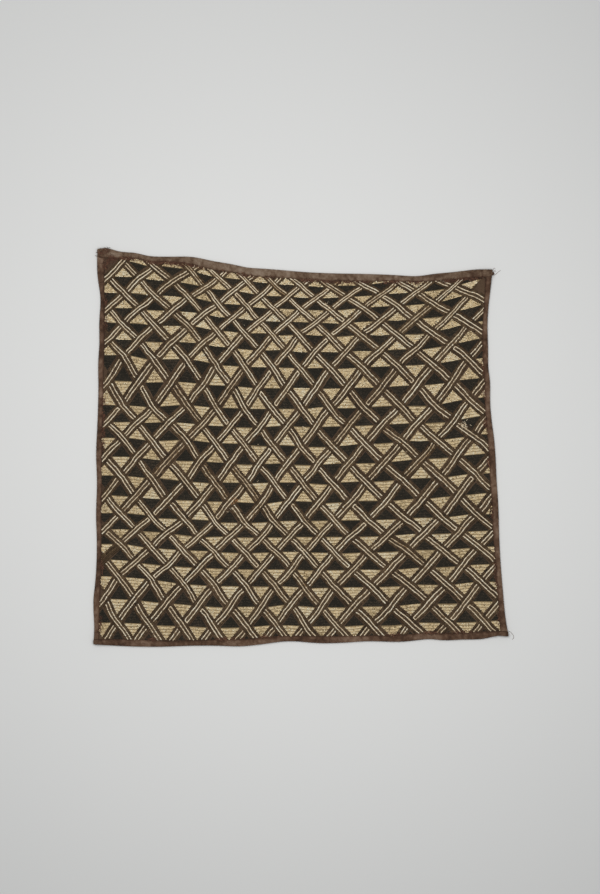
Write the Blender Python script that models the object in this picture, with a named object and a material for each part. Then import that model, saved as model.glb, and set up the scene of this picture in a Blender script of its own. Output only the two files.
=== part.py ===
"""Kuba raffia cloth: a flat embroidered panel with a strip folded over each of its four edges.

Metres, +Z up. The cloth lies flat on z = 0 with its worked face up, its long way along X and
its top edge towards +Y. The origin is under the middle of its bounding box.
"""

from typing import NamedTuple

import bmesh
import bpy
import numpy as np
from mathutils.geometry import delaunay_2d_cdt

MM = 0.001

# Driving dimensions
CLOTH_WIDTH = 0.590
CLOTH_HEIGHT = 0.566
GROUND_THICK = 0.0012
STRIP_THICK = 0.0010
GAP = 0.0003

# Relief of the worked face: the interlaced bands and the cut pile between them
BAND_WIDTH = 0.0124
BAND_RISE = 0.0007
BAND_SHOULDER = 0.0018
BAND_DIVE = 0.0040
PILE_RISE = 0.0010
PILE_SHOULDER = 0.0016
PILE_CROWN = 0.0003

# Folded strips
FOLD_RADIUS = 0.0009
UNDER_LEG = 0.8  # share of the upper leg's width
PUCKER = 0.00025
WAD_RISE = 0.0014
WAD_LENGTH = 0.024

# The ground rises from the surface to the strips' height over this stretch inside them
RISE_START = 0.0015
RISE_END = 0.0200
CROSSING_RISE_END = 0.0110  # where a strip steps over the strip that it crosses

# A layer of strip and the gap on it lift what lies on them by this much
LAYER = STRIP_THICK + GAP
FOLD_ROOM = 0.0009  # left free inside a fold, because the strips turn over loosely
SEAT = STRIP_THICK + FOLD_ROOM  # from a strip's outer fold to the ground's own edge

# Colours, linear, and roughness
GROUND_COLOUR = (0.30, 0.22, 0.14)
SIDE_STRIP_COLOUR = (0.13, 0.07, 0.05)
END_STRIP_COLOUR = (0.14, 0.08, 0.055)
GROUND_ROUGHNESS = 0.9
STRIP_ROUGHNESS = 0.85
SHARP_ANGLE = 35  # degrees between faces that aren't shaded as one

PUCKER_SEED = 7
MEETING_ROUNDS = 6  # to find where two uneven edges cross
SAME_POINT = 1e-4  # lattice cells; closer points are one
SHORTEST_LINE = 1e-6  # as a share of the line that is clipped
PARALLEL = 1e-9  # lattice cells; a line that travels less runs along the other way


class EdgeRow(NamedTuple):
    """One place on an edge, in millimetres: where it is along the edge, and how far the strip's
    outer fold and its inner edge lie in from the cloth's bounding line there."""

    along: float
    fold: float
    inner: float


# Side edges, from the top down: along is the height above the cloth's middle
LEFT_EDGE = (
    EdgeRow(283, 6.5, 16.0),
    EdgeRow(243, 6.5, 16.5),
    EdgeRow(212, 11.0, 17.5),
    EdgeRow(179, 9.0, 17.0),
    EdgeRow(138, 9.0, 17.0),
    EdgeRow(124, 7.5, 16.0),
    EdgeRow(88, 8.0, 15.5),
    EdgeRow(62, 7.5, 15.0),
    EdgeRow(23, 6.0, 14.0),
    EdgeRow(-7, 4.5, 13.0),
    EdgeRow(-48, 6.0, 13.0),
    EdgeRow(-102, 4.5, 12.5),
    EdgeRow(-124, 5.5, 12.5),
    EdgeRow(-178, 4.5, 12.0),
    EdgeRow(-205, 2.0, 11.0),
    EdgeRow(-222, 0.0, 10.0),
    EdgeRow(-240, 1.5, 9.5),
    EdgeRow(-261, 2.0, 9.5),
    EdgeRow(-283, 0.5, 9.0),
)
RIGHT_EDGE = (
    EdgeRow(252, 23.0, 33.5),
    EdgeRow(226, 25.5, 34.0),
    EdgeRow(195, 29.0, 36.0),
    EdgeRow(172, 30.0, 37.5),
    EdgeRow(138, 29.0, 37.5),
    EdgeRow(111, 29.0, 36.0),
    EdgeRow(89, 25.5, 34.5),
    EdgeRow(75, 26.5, 34.0),
    EdgeRow(41, 24.5, 33.0),
    EdgeRow(12, 20.5, 30.0),
    EdgeRow(-14, 18.5, 28.0),
    EdgeRow(-48, 17.0, 26.5),
    EdgeRow(-75, 15.0, 24.5),
    EdgeRow(-102, 14.0, 23.5),
    EdgeRow(-124, 13.5, 22.5),
    EdgeRow(-155, 12.0, 20.0),
    EdgeRow(-183, 10.0, 18.0),
    EdgeRow(-210, 7.5, 15.5),
    EdgeRow(-234, 5.5, 14.0),
    EdgeRow(-252, 3.0, 13.5),
    EdgeRow(-270, 0.0, 13.0),
)
# Top and bottom edges, from the left: along is the distance to the right of the cloth's middle
TOP_EDGE = (
    EdgeRow(-288, 1.5, 14.5),
    EdgeRow(-277, 0.0, 14.5),
    EdgeRow(-268, 1.5, 14.5),
    EdgeRow(-258, 5.5, 14.5),
    EdgeRow(-234, 6.5, 15.5),
    EdgeRow(-222, 10.5, 19.0),
    EdgeRow(-189, 12.5, 20.5),
    EdgeRow(-150, 13.0, 25.0),
    EdgeRow(-128, 18.0, 31.0),
    EdgeRow(-93, 24.0, 35.0),
    EdgeRow(-76, 28.0, 38.5),
    EdgeRow(-59, 29.0, 41.0),
    EdgeRow(-26, 31.5, 43.0),
    EdgeRow(2, 34.0, 45.5),
    EdgeRow(43, 36.0, 47.0),
    EdgeRow(97, 37.0, 48.0),
    EdgeRow(143, 39.0, 48.0),
    EdgeRow(163, 40.5, 48.5),
    EdgeRow(190, 36.5, 47.0),
    EdgeRow(215, 34.5, 45.5),
    EdgeRow(249, 30.5, 42.5),
    EdgeRow(272, 30.5, 41.5),
)
BOTTOM_EDGE = (
    EdgeRow(-294, 3.5, 11.5),
    EdgeRow(-252, 1.0, 11.0),
    EdgeRow(-198, 0.0, 9.5),
    EdgeRow(-157, 1.5, 10.0),
    EdgeRow(-116, 1.5, 10.5),
    EdgeRow(-86, 0.5, 11.0),
    EdgeRow(-59, 3.0, 13.0),
    EdgeRow(-19, 8.0, 16.0),
    EdgeRow(29, 5.0, 15.5),
    EdgeRow(56, 5.5, 15.5),
    EdgeRow(97, 8.0, 16.5),
    EdgeRow(144, 7.0, 17.0),
    EdgeRow(171, 10.0, 20.0),
    EdgeRow(186, 11.5, 20.0),
    EdgeRow(200, 9.0, 19.5),
    EdgeRow(229, 10.5, 20.5),
    EdgeRow(260, 11.0, 22.5),
    EdgeRow(277, 15.5, 23.0),
    EdgeRow(295, 14.5, 23.0),
)

# Where the columns and rows of crossings with the falling band on top stand, as shares of the
# field's width from the left and of its height from the top. The hand-set spacing is uneven.
CROSSING_COLUMNS = (
    0.048, 0.128, 0.215, 0.292, 0.370, 0.443, 0.518, 0.596, 0.682, 0.777, 0.870, 0.960,
)
CROSSING_ROWS = (
    0.004, 0.074, 0.152, 0.244, 0.362, 0.462, 0.566, 0.673, 0.761, 0.857, 0.966,
)

STRIP_MARGIN = 0.2  # the strips' zone round the field, in lattice cells
WORK_MARGIN = 0.0012  # the bare ground between the relief and the strips
OUTLINE_STEP = 0.30  # between the outline's points, in lattice cells


def reading(edge, column, at):
    """Reads a column of an edge's table at a place along it, both in metres, on a smooth curve."""
    rows = sorted(edge, key=lambda row: row.along)
    along = np.array([row.along for row in rows]) * MM
    value = np.array([getattr(row, column) for row in rows]) * MM
    slope = np.gradient(value, along)
    at = min(max(at, along[0]), along[-1])
    k = min(max(int(np.searchsorted(along, at)) - 1, 0), len(along) - 2)
    span = along[k + 1] - along[k]
    t = (at - along[k]) / span
    start, end = value[k], value[k + 1]
    leave, arrive = slope[k] * span, slope[k + 1] * span
    cubic = (2 * start - 2 * end + leave + arrive) * t**3
    square = (3 * end - 3 * start - 2 * leave - arrive) * t**2
    return float(cubic + square + leave * t + start)


def left_x(y, column):
    """x of the left strip's fold or inner edge at height y."""
    return -CLOTH_WIDTH / 2 + reading(LEFT_EDGE, column, y)


def right_x(y, column):
    """x of the right strip's fold or inner edge at height y."""
    return CLOTH_WIDTH / 2 - reading(RIGHT_EDGE, column, y)


def top_y(x, column):
    """y of the top strip's fold or inner edge at x."""
    return CLOTH_HEIGHT / 2 - reading(TOP_EDGE, column, x)


def bottom_y(x, column):
    """y of the bottom strip's fold or inner edge at x."""
    return -CLOTH_HEIGHT / 2 + reading(BOTTOM_EDGE, column, x)


def meeting(side_x, end_y, column):
    """The point where a side edge and an end edge cross."""
    x, y = 0.0, 0.0
    for _ in range(MEETING_ROUNDS):
        y = end_y(x, column)
        x = side_x(y, column)
    return np.array((x, y))


TOP_LEFT = meeting(left_x, top_y, "inner")
TOP_RIGHT = meeting(right_x, top_y, "inner")
BOTTOM_LEFT = meeting(left_x, bottom_y, "inner")
BOTTOM_RIGHT = meeting(right_x, bottom_y, "inner")


def lerp(a, b, t):
    """The value a share t of the way from a to b."""
    return a + (b - a) * t


def field_point(u, v):
    """The point of the field at shares u from the left and v from the top: a Coons patch."""
    x_top, x_bottom = lerp(TOP_LEFT[0], TOP_RIGHT[0], u), lerp(BOTTOM_LEFT[0], BOTTOM_RIGHT[0], u)
    y_left, y_right = lerp(TOP_LEFT[1], BOTTOM_LEFT[1], v), lerp(TOP_RIGHT[1], BOTTOM_RIGHT[1], v)
    top = np.array((x_top, top_y(x_top, "inner")))
    bottom = np.array((x_bottom, bottom_y(x_bottom, "inner")))
    left = np.array((left_x(y_left, "inner"), y_left))
    right = np.array((right_x(y_right, "inner"), y_right))
    corners = lerp(lerp(TOP_LEFT, TOP_RIGHT, u), lerp(BOTTOM_LEFT, BOTTOM_RIGHT, u), v)
    return lerp(top, bottom, v) + lerp(left, right, u) - corners


def table_share(table, cell):
    """Share of the field at a lattice coordinate, with the end spacing carried on outside."""
    last = len(table) - 1
    k = min(max(int(np.floor(cell)), 0), last - 1)
    return lerp(table[k], table[k + 1], cell - k)


def table_cell(table, share):
    """Lattice coordinate at a share of the field: the inverse of table_share."""
    last = len(table) - 1
    k = min(max(int(np.searchsorted(table, share)) - 1, 0), last - 1)
    return k + (share - table[k]) / (table[k + 1] - table[k])


COLUMN_START, COLUMN_END = (table_cell(CROSSING_COLUMNS, share) for share in (0, 1))
ROW_START, ROW_END = (table_cell(CROSSING_ROWS, share) for share in (0, 1))
FIELD_WIDTH = (TOP_RIGHT[0] - TOP_LEFT[0] + BOTTOM_RIGHT[0] - BOTTOM_LEFT[0]) / 2
FIELD_HEIGHT = (TOP_LEFT[1] - BOTTOM_LEFT[1] + TOP_RIGHT[1] - BOTTOM_RIGHT[1]) / 2
CELL_WIDTH = FIELD_WIDTH / (COLUMN_END - COLUMN_START)
CELL_HEIGHT = FIELD_HEIGHT / (ROW_END - ROW_START)
# One lattice step across the bands, which run along the cells' diagonals
BAND_PITCH = CELL_WIDTH * CELL_HEIGHT / np.hypot(CELL_WIDTH, CELL_HEIGHT)


def beyond(cell, start, end):
    """How far a lattice coordinate lies outside the field: -1 to 1 over the strips' zone."""
    return (min(cell - start, 0) + max(cell - end, 0)) / STRIP_MARGIN


def cloth_point(column, row):
    """The point of the ground at lattice coordinates, with the strips' zone outside the field."""
    u = min(max(table_share(CROSSING_COLUMNS, column), 0), 1)
    v = min(max(table_share(CROSSING_ROWS, row), 0), 1)
    x, y = start_x, start_y = field_point(u, v)
    out_x = beyond(column, COLUMN_START, COLUMN_END)
    out_y = beyond(row, ROW_START, ROW_END)
    for _ in range(MEETING_ROUNDS):
        if out_x:
            edge = left_x(y, "fold") + SEAT if out_x < 0 else right_x(y, "fold") - SEAT
            x = lerp(start_x, edge, abs(out_x))
        if out_y:
            edge = top_y(x, "fold") - SEAT if out_y < 0 else bottom_y(x, "fold") + SEAT
            y = lerp(start_y, edge, abs(out_y))
    return x, y


def rise(distance, end=RISE_END):
    """1 under a strip, falling to 0 at a distance inside its inner edge."""
    return float(np.clip((end - distance) / (end - RISE_START), 0, 1))


def ground_lift(column, row):
    """Height of the ground's underside: one layer of strip along an edge, two in a corner."""
    u, v = table_share(CROSSING_COLUMNS, column), table_share(CROSSING_ROWS, row)
    side = rise(min(u, 1 - u) * FIELD_WIDTH)
    end = rise(min(v, 1 - v) * FIELD_HEIGHT)
    return LAYER * (side + end)


def plateau(inside, shoulder):
    """0 outside a raised shape, 1 on its top, with a straight shoulder between them."""
    return float(np.clip(inside / shoulder, 0, 1))


def relief(column, row):
    """Height of the work above the ground. Falling bands lie where column - row is whole and
    rising bands where column + row is whole. At each crossing one of them is on top."""
    falling, rising = column - row, column + row
    near_falling, near_rising = round(falling), round(rising)
    half = BAND_WIDTH / 2 / BAND_PITCH
    off_falling, off_rising = abs(falling - near_falling), abs(rising - near_rising)
    if off_falling > half and off_rising > half:
        inside = (min(off_falling, off_rising) - half) * BAND_PITCH
        centre = 1 - (max(off_falling, off_rising) - half) / (0.5 - half)
        return PILE_RISE * plateau(inside, PILE_SHOULDER) + PILE_CROWN * max(0, 1 - centre)
    falling_on_top = (near_falling + near_rising) % 2 == 0
    heights = [0.0]
    for off, other, nearest, on_top in (
        (off_falling, rising, near_rising, falling_on_top),
        (off_rising, falling, near_falling, not falling_on_top),
    ):
        if off > half:
            continue
        over = nearest if on_top else nearest + (1 if other > nearest else -1)
        across = plateau((half - off) * BAND_PITCH, BAND_SHOULDER)
        along = plateau((1 - half - abs(other - over)) * BAND_PITCH, BAND_DIVE)
        heights.append(BAND_RISE * min(across, along))
    return max(heights)


def cell_of(falling, rising):
    """Lattice column and row at band coordinates."""
    return (rising + falling) / 2, (rising - falling) / 2


def raised_outlines():
    """The foot and top outlines of each raised band and pile lozenge, in lattice coordinates."""
    half = BAND_WIDTH / 2 / BAND_PITCH
    top_half = half - BAND_SHOULDER / BAND_PITCH
    foot_reach, top_reach = 1 - half, 1 - half - BAND_DIVE / BAND_PITCH
    pile_start = half + PILE_SHOULDER / BAND_PITCH
    outlines = []
    first_falling, last_falling = int(COLUMN_START - ROW_END) - 2, int(COLUMN_END - ROW_START) + 2
    for falling in range(first_falling, last_falling + 1):
        for rising in range(int(COLUMN_START + ROW_START) - 2, int(COLUMN_END + ROW_END) + 3):
            for across, along in ((half, foot_reach), (top_half, top_reach)):
                if (falling + rising) % 2:
                    across, along = along, across
                outlines.append([
                    cell_of(falling + a * across, rising + b * along)
                    for a, b in ((-1, -1), (1, -1), (1, 1), (-1, 1))
                ])
            outlines.append([
                cell_of(falling + a, rising + b)
                for a, b in (
                    (pile_start, pile_start),
                    (1 - pile_start, pile_start),
                    (1 - pile_start, 1 - pile_start),
                    (pile_start, 1 - pile_start),
                )
            ])
    return outlines


def clipped(start, end, low, high):
    """The part of a straight line inside a rectangle, or None: Liang and Barsky's method."""
    enter, leave = 0.0, 1.0
    for axis in (0, 1):
        travel = end[axis] - start[axis]
        if abs(travel) < PARALLEL:
            if not low[axis] <= start[axis] <= high[axis]:
                return None
            continue
        near, far = sorted(((low[axis] - start[axis]) / travel, (high[axis] - start[axis]) / travel))
        enter, leave = max(enter, near), min(leave, far)
    if leave - enter < SHORTEST_LINE:
        return None
    return tuple(tuple(lerp(start[k], end[k], t) for k in (0, 1)) for t in (enter, leave))


class PlanMesh:
    """Collects points and lines in lattice coordinates and triangulates them."""

    def __init__(self):
        self.points = []
        self.lines = []
        self.rim = []

    def add_line(self, start, end):
        """Adds one line that the triangles have to follow."""
        self.lines.append((len(self.points), len(self.points) + 1))
        self.points += [start, end]

    def add_loop(self, loop):
        """Adds a closed line and returns its points' places in the list."""
        first = len(self.points)
        self.points += loop
        count = len(loop)
        self.lines += [(first + k, first + (k + 1) % count) for k in range(count)]
        return list(range(first, first + count))

    def triangulate(self):
        """Returns the points, the triangles, and the rim's points in order."""
        points, _, faces, origins, _, _ = delaunay_2d_cdt(
            self.points, self.lines, [self.rim], 1, SAME_POINT
        )
        new_of = {old: new for new, olds in enumerate(origins) for old in olds}
        return points, faces, [new_of[old] for old in self.rim]


def inset_cells(table, size, distance):
    """Lattice coordinates a distance inside the field's two opposite edges."""
    share = distance / size
    return table_cell(table, share), table_cell(table, 1 - share)


def outline_places(table, size, margin):
    """Lattice coordinates of an outline's points along one way, with the rise's lines."""
    start, end = inset_cells(table, size, 0)
    first, last = inset_cells(table, size, RISE_END)
    even = np.linspace(first, last, round((last - first) / OUTLINE_STEP) + 1)
    near = inset_cells(table, size, RISE_START) + inset_cells(table, size, CROSSING_RISE_END)
    return sorted({start - margin, start, *near, *map(float, even), end, end + margin})


def work_places(table, size):
    """Lattice coordinates of the points round the worked part, just inside the strips."""
    low, high = inset_cells(table, size, WORK_MARGIN)
    return [low, *(place for place in outline_places(table, size, 0) if low < place < high), high]


def loop_round(columns, rows):
    """The points of a rectangle that has its corners and its sides' points at these places."""
    loop = [(column, rows[0]) for column in columns[:-1]]
    loop += [(columns[-1], row) for row in rows[:-1]]
    loop += [(column, rows[-1]) for column in columns[:0:-1]]
    return loop + [(columns[0], row) for row in rows[:0:-1]]


def outline_loop(margin):
    """A rectangle a margin outside the field, with points close enough to follow the edges."""
    columns = outline_places(CROSSING_COLUMNS, FIELD_WIDTH, margin)
    return loop_round(columns, outline_places(CROSSING_ROWS, FIELD_HEIGHT, margin))


def worked_face():
    """The plan of the ground's upper face, with every foot and shoulder of the work in it."""
    plan = PlanMesh()
    plan.rim = plan.add_loop(outline_loop(STRIP_MARGIN))
    plan.add_loop(outline_loop(0))
    columns = work_places(CROSSING_COLUMNS, FIELD_WIDTH)
    rows = work_places(CROSSING_ROWS, FIELD_HEIGHT)
    plan.add_loop(loop_round(columns, rows))
    low, high = (columns[0], rows[0]), (columns[-1], rows[-1])
    for outline in raised_outlines():
        for start, end in zip(outline, outline[1:] + outline[:1]):
            line = clipped(start, end, low, high)
            if line:
                plan.add_line(*line)
    points, faces, rim = plan.triangulate()
    raised = [
        all(low[k] - SAME_POINT <= point[k] <= high[k] + SAME_POINT for k in (0, 1))
        for point in points
    ]
    heights = [
        ground_lift(*point) + GROUND_THICK + (relief(*point) if up else 0)
        for point, up in zip(points, raised)
    ]
    return points, faces, rim, heights


def underside():
    """The plan of the ground's under face: flat inside, rising to the strips round its rim."""
    plan = PlanMesh()
    plan.rim = plan.add_loop(outline_loop(STRIP_MARGIN))
    columns = outline_places(CROSSING_COLUMNS, FIELD_WIDTH, STRIP_MARGIN)
    rows = outline_places(CROSSING_ROWS, FIELD_HEIGHT, STRIP_MARGIN)
    for inset in (RISE_START, RISE_END):
        for column in inset_cells(CROSSING_COLUMNS, FIELD_WIDTH, inset):
            for start, end in zip(rows, rows[1:]):
                plan.add_line((column, start), (column, end))
        for row in inset_cells(CROSSING_ROWS, FIELD_HEIGHT, inset):
            for start, end in zip(columns, columns[1:]):
                plan.add_line((start, row), (end, row))
    points, faces, rim = plan.triangulate()
    return points, faces, rim, [ground_lift(*point) for point in points]


def add_object(bm, name, colour, roughness):
    """Makes an object of a finished bmesh, with its own material."""
    bmesh.ops.recalc_face_normals(bm, faces=bm.faces)
    mesh = bpy.data.meshes.new(name)
    bm.to_mesh(mesh)
    bm.free()
    mesh.shade_smooth()
    mesh.set_sharp_from_angle(angle=np.radians(SHARP_ANGLE))
    material = bpy.data.materials.new(name)
    material.use_nodes = True
    shader = material.node_tree.nodes["Principled BSDF"]
    shader.inputs["Base Color"].default_value = (*colour, 1)
    shader.inputs["Roughness"].default_value = roughness
    shader.inputs["Metallic"].default_value = 0
    mesh.materials.append(material)
    cloth_object = bpy.data.objects.new(name, mesh)
    bpy.context.collection.objects.link(cloth_object)
    return cloth_object


def ground_cloth():
    """The woven ground with the embroidery's relief on its upper face."""
    bm = bmesh.new()
    rims = []
    for points, faces, rim, heights in (worked_face(), underside()):
        verts = [
            bm.verts.new((*cloth_point(*point), height)) for point, height in zip(points, heights)
        ]
        for face in faces:
            bm.faces.new([verts[k] for k in face])
        rims.append([verts[k] for k in rim])
    upper, lower = rims
    for k in range(len(upper)):
        after = (k + 1) % len(upper)
        bm.faces.new((upper[k], upper[after], lower[after], lower[k]))
    bmesh.ops.triangulate(bm, faces=bm.faces)
    return add_object(bm, "ground_cloth", GROUND_COLOUR, GROUND_ROUGHNESS)


def folded_section(width, under_z, upper_z, pucker):
    """A strip's section as (distance in from the fold, height), round its closed outline: the
    under leg, the fold, the upper leg and back round the channel for the cloth's edge."""
    top = upper_z + STRIP_THICK
    under_width = width * UNDER_LEG
    return (
        (under_width, under_z),
        (FOLD_RADIUS, under_z),
        (0, under_z + FOLD_RADIUS),
        (0, top - FOLD_RADIUS),
        (FOLD_RADIUS, top),
        (width / 2, top + pucker),
        (width, top - pucker / 2),
        (width, upper_z),
        (STRIP_THICK, upper_z),
        (STRIP_THICK, under_z + STRIP_THICK),
        (under_width, under_z + STRIP_THICK),
    )


# The faces that close a folded section at a strip's end: under leg, fold and upper leg
END_FACES = ((0, 1, 9, 10), (1, 2, 9), (2, 3, 8, 9), (3, 4, 8), (4, 5, 6, 7, 8))


def folded_strip(name, sections, colour):
    """Lofts a strip through its sections, which are lists of points in space."""
    bm = bmesh.new()
    rings = [[bm.verts.new(point) for point in section] for section in sections]
    for ring, following in zip(rings, rings[1:]):
        for k in range(len(ring)):
            after = (k + 1) % len(ring)
            bm.faces.new((ring[k], ring[after], following[after], following[k]))
    for end in (rings[0], rings[-1]):
        for corners in END_FACES:
            bm.faces.new([end[k] for k in corners])
    bmesh.ops.triangulate(bm, faces=bm.faces)
    return add_object(bm, name, colour, STRIP_ROUGHNESS)


def stations(start, end, start_corner, end_corner, table, size):
    """Places along a strip: its two ends, and between them the ground's own outline points."""
    shares = [table_share(table, place) for place in outline_places(table, size, 0)]
    return [start, *(lerp(start_corner, end_corner, share) for share in shares), end]


def inside_by(place, low, high, size):
    """Distance inside the nearer of two corners, on the field's own mean size."""
    return min(place - low, high - place) * size / (high - low)


def side_strip(name, side_x, inward, corners, rng):
    """A side strip, whose two ends lie inside the end strips' channels."""
    top_corner, bottom_corner = corners
    across = [meeting(side_x, top_y, "fold")[0], top_corner[0]]
    highest = min(top_y(x, "fold") for x in np.linspace(*across, 5)) - SEAT
    across = [meeting(side_x, bottom_y, "fold")[0], bottom_corner[0]]
    lowest = max(bottom_y(x, "fold") for x in np.linspace(*across, 5)) + SEAT
    sections = []
    ends = (highest, lowest, top_corner[1], bottom_corner[1])
    for y in stations(*ends, CROSSING_ROWS, FIELD_HEIGHT):
        inside = inside_by(y, bottom_corner[1], top_corner[1], FIELD_HEIGHT)
        lift = LAYER * rise(inside)
        upper_z = lift + LAYER + GROUND_THICK + GAP
        pucker = rng.uniform(0, PUCKER) if inside > CROSSING_RISE_END else 0
        fold = side_x(y, "fold")
        width = abs(side_x(y, "inner") - fold)
        sections.append([
            (fold + inward * d, y, z) for d, z in folded_section(width, lift, upper_z, pucker)
        ])
    return folded_strip(name, sections, SIDE_STRIP_COLOUR)


def end_strip(name, end_y, inward, corners, wad_rise, rng):
    """A top or bottom strip, which steps up over the side strips at both of its ends."""
    left_corner, right_corner = corners
    start = meeting(left_x, end_y, "fold")[0]
    end = meeting(right_x, end_y, "fold")[0]
    sections = []
    ends = (start, end, left_corner[0], right_corner[0])
    for x in stations(*ends, CROSSING_COLUMNS, FIELD_WIDTH):
        inside = inside_by(x, left_corner[0], right_corner[0], FIELD_WIDTH)
        lift = LAYER * (rise(inside) + rise(inside, CROSSING_RISE_END))
        upper_z = LAYER + GROUND_THICK + GAP + lift
        wad = wad_rise * max(0, 1 - (x - start) / WAD_LENGTH)
        fold = end_y(x, "fold")
        width = abs(end_y(x, "inner") - fold)
        sections.append([
            (x, fold + inward * d, z)
            for d, z in folded_section(width, 0, upper_z, wad + rng.uniform(0, PUCKER))
        ])
    return folded_strip(name, sections, END_STRIP_COLOUR)


def centre_over_origin(objects):
    """Moves the meshes so that the cloth's bounding box stands over the origin."""
    corners = np.array([v.co for o in objects for v in o.data.vertices])
    middle = (corners.min(0) + corners.max(0)) / 2
    for cloth_object in objects:
        for vertex in cloth_object.data.vertices:
            vertex.co.x -= middle[0]
            vertex.co.y -= middle[1]


def main():
    """Clears the scene and builds the cloth."""
    for old in list(bpy.data.objects):
        bpy.data.objects.remove(old)
    rng = np.random.default_rng(PUCKER_SEED)
    cloth = [
        ground_cloth(),
        side_strip("binding_left", left_x, 1, (TOP_LEFT, BOTTOM_LEFT), rng),
        side_strip("binding_right", right_x, -1, (TOP_RIGHT, BOTTOM_RIGHT), rng),
        end_strip("binding_top", top_y, -1, (TOP_LEFT, TOP_RIGHT), WAD_RISE, rng),
        end_strip("binding_bottom", bottom_y, 1, (BOTTOM_LEFT, BOTTOM_RIGHT), 0, rng),
    ]
    centre_over_origin(cloth)


if __name__ == "__main__":
    main()
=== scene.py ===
"""Looks of a kuba raffia cloth: its woven ground, stitched bands, cut pile and folded strips.

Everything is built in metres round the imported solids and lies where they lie.
"""

import logging
from dataclasses import dataclass, field
from enum import Enum

import bpy
import numpy as np
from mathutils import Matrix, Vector
from mathutils.bvhtree import BVHTree

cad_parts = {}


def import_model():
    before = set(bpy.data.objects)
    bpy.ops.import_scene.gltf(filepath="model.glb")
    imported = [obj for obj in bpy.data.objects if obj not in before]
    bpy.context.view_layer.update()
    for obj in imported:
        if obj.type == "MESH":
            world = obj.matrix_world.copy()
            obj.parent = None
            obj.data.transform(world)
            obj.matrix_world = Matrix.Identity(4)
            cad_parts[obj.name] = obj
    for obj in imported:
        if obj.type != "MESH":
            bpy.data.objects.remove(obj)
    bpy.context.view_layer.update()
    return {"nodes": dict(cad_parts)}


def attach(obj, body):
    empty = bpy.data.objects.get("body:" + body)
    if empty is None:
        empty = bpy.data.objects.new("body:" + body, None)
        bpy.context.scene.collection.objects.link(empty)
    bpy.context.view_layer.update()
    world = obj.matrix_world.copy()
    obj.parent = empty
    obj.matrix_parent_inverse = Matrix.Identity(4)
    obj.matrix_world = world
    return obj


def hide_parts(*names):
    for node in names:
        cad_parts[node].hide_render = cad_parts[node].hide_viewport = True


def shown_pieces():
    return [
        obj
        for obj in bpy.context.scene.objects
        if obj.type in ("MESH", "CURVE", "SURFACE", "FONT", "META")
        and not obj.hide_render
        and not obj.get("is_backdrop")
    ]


LOG = logging.getLogger("kuba_cloth")
SEED = 11
NOISE_CELLS = 256  # random values along each side of the table of smooth noise
MID_TONE = 0.5

# The cloth's build, as in its solids
GROUND_THICK = 0.0012
STRIP_LAYER = 0.0013
RISE_START = 0.0015
RISE_END = 0.0200
GROUND_INSET = 0.0019  # from a strip's outer fold to the ground's own edge
MERGE_REACH = 0.00002  # points of a solid's loose triangles that are nearer are one point
BAND_WIDTH = 0.0124

# Shares of the field's width where the columns of crossings stand, at its top and its bottom
CROSSING_COLUMNS = np.array(
    (
        (0.050, 0.133, 0.226, 0.300, 0.372, 0.443, 0.517, 0.597, 0.681, 0.774, 0.866, 0.965),
        (0.046, 0.124, 0.205, 0.284, 0.367, 0.443, 0.518, 0.594, 0.683, 0.780, 0.874, 0.962),
    )
)
# Shares of its height where the rows of crossings stand, at five shares of its width
ROW_PLACES = (0.05, 0.25, 0.58, 0.88, 1.0)
CROSSING_ROWS = np.array(
    (
        (0.008, 0.090, 0.171, 0.256, 0.386, 0.471, 0.573, 0.671, 0.751, 0.835, 0.956),
        (0.018, 0.088, 0.162, 0.254, 0.375, 0.471, 0.577, 0.681, 0.762, 0.853, 0.966),
        (0.018, 0.083, 0.155, 0.247, 0.357, 0.467, 0.571, 0.677, 0.768, 0.866, 0.972),
        (-0.012, 0.060, 0.146, 0.234, 0.352, 0.451, 0.557, 0.670, 0.762, 0.862, 0.972),
        (-0.035, 0.034, 0.120, 0.225, 0.340, 0.446, 0.554, 0.669, 0.763, 0.862, 0.971),
    )
)
# Lozenges are pale above down to the first of these lattice rows and black above from the second
ALL_PALE_ABOVE, ALL_BLACK_ABOVE = 0.5, 7.5
PALE_ABOVE_COLUMNS = 7.5  # in the upper rows, to the left of this column
TURN_SHIFT_ROW = 4.0  # above it the turns between whole rows stand half a column over
# Between them pale and black take turns along a row. Hand work slips: in these stretches of a row
# (lattice row, first column, last column) they take their turns the other way round.
SLIPS = (
    (0.5, 11.0, 11.0), (1.0, -0.5, -0.5), (1.0, 3.5, 3.5), (1.0, 6.5, 6.5), (1.5, 0.0, 1.0),
    (1.5, 4.0, 4.0), (1.5, 6.0, 6.0), (2.0, -0.5, -0.5), (2.5, 0.0, 2.0), (2.5, 6.0, 6.0),
    (3.0, -0.5, 1.5), (3.5, 7.0, 8.0), (4.0, 4.5, 5.5), (4.0, 8.5, 10.5), (5.0, -0.5, 2.5),
    (6.5, 3.0, 9.0), (6.5, 11.0, 11.0), (7.0, 0.5, 3.5), (7.0, 5.5, 5.5), (7.0, 9.5, 9.5),
)
# How far the work strays from the lattice, as work does that is counted by eye, and over what reach
LATTICE_STRAY, STRAY_REACH = 0.0030, 0.052
# Bare ground shows past the first rising band and in a slot inside the right strip
FIRST_RISING = -0.2
BARE_SLOT = (0.2500, 0.2185)  # right of this x and above this y
EDGE_SLACK = 0.0008  # how far the work may reach under a strip, as a share of the field
LATTICE_MARGIN = 2  # crossings and lozenges that are looked at past each side of the field

Array = np.ndarray


class Worked(Enum):
    """The two colours of a lozenge's halves."""

    PALE = "pale"
    BLACK = "black"


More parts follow.
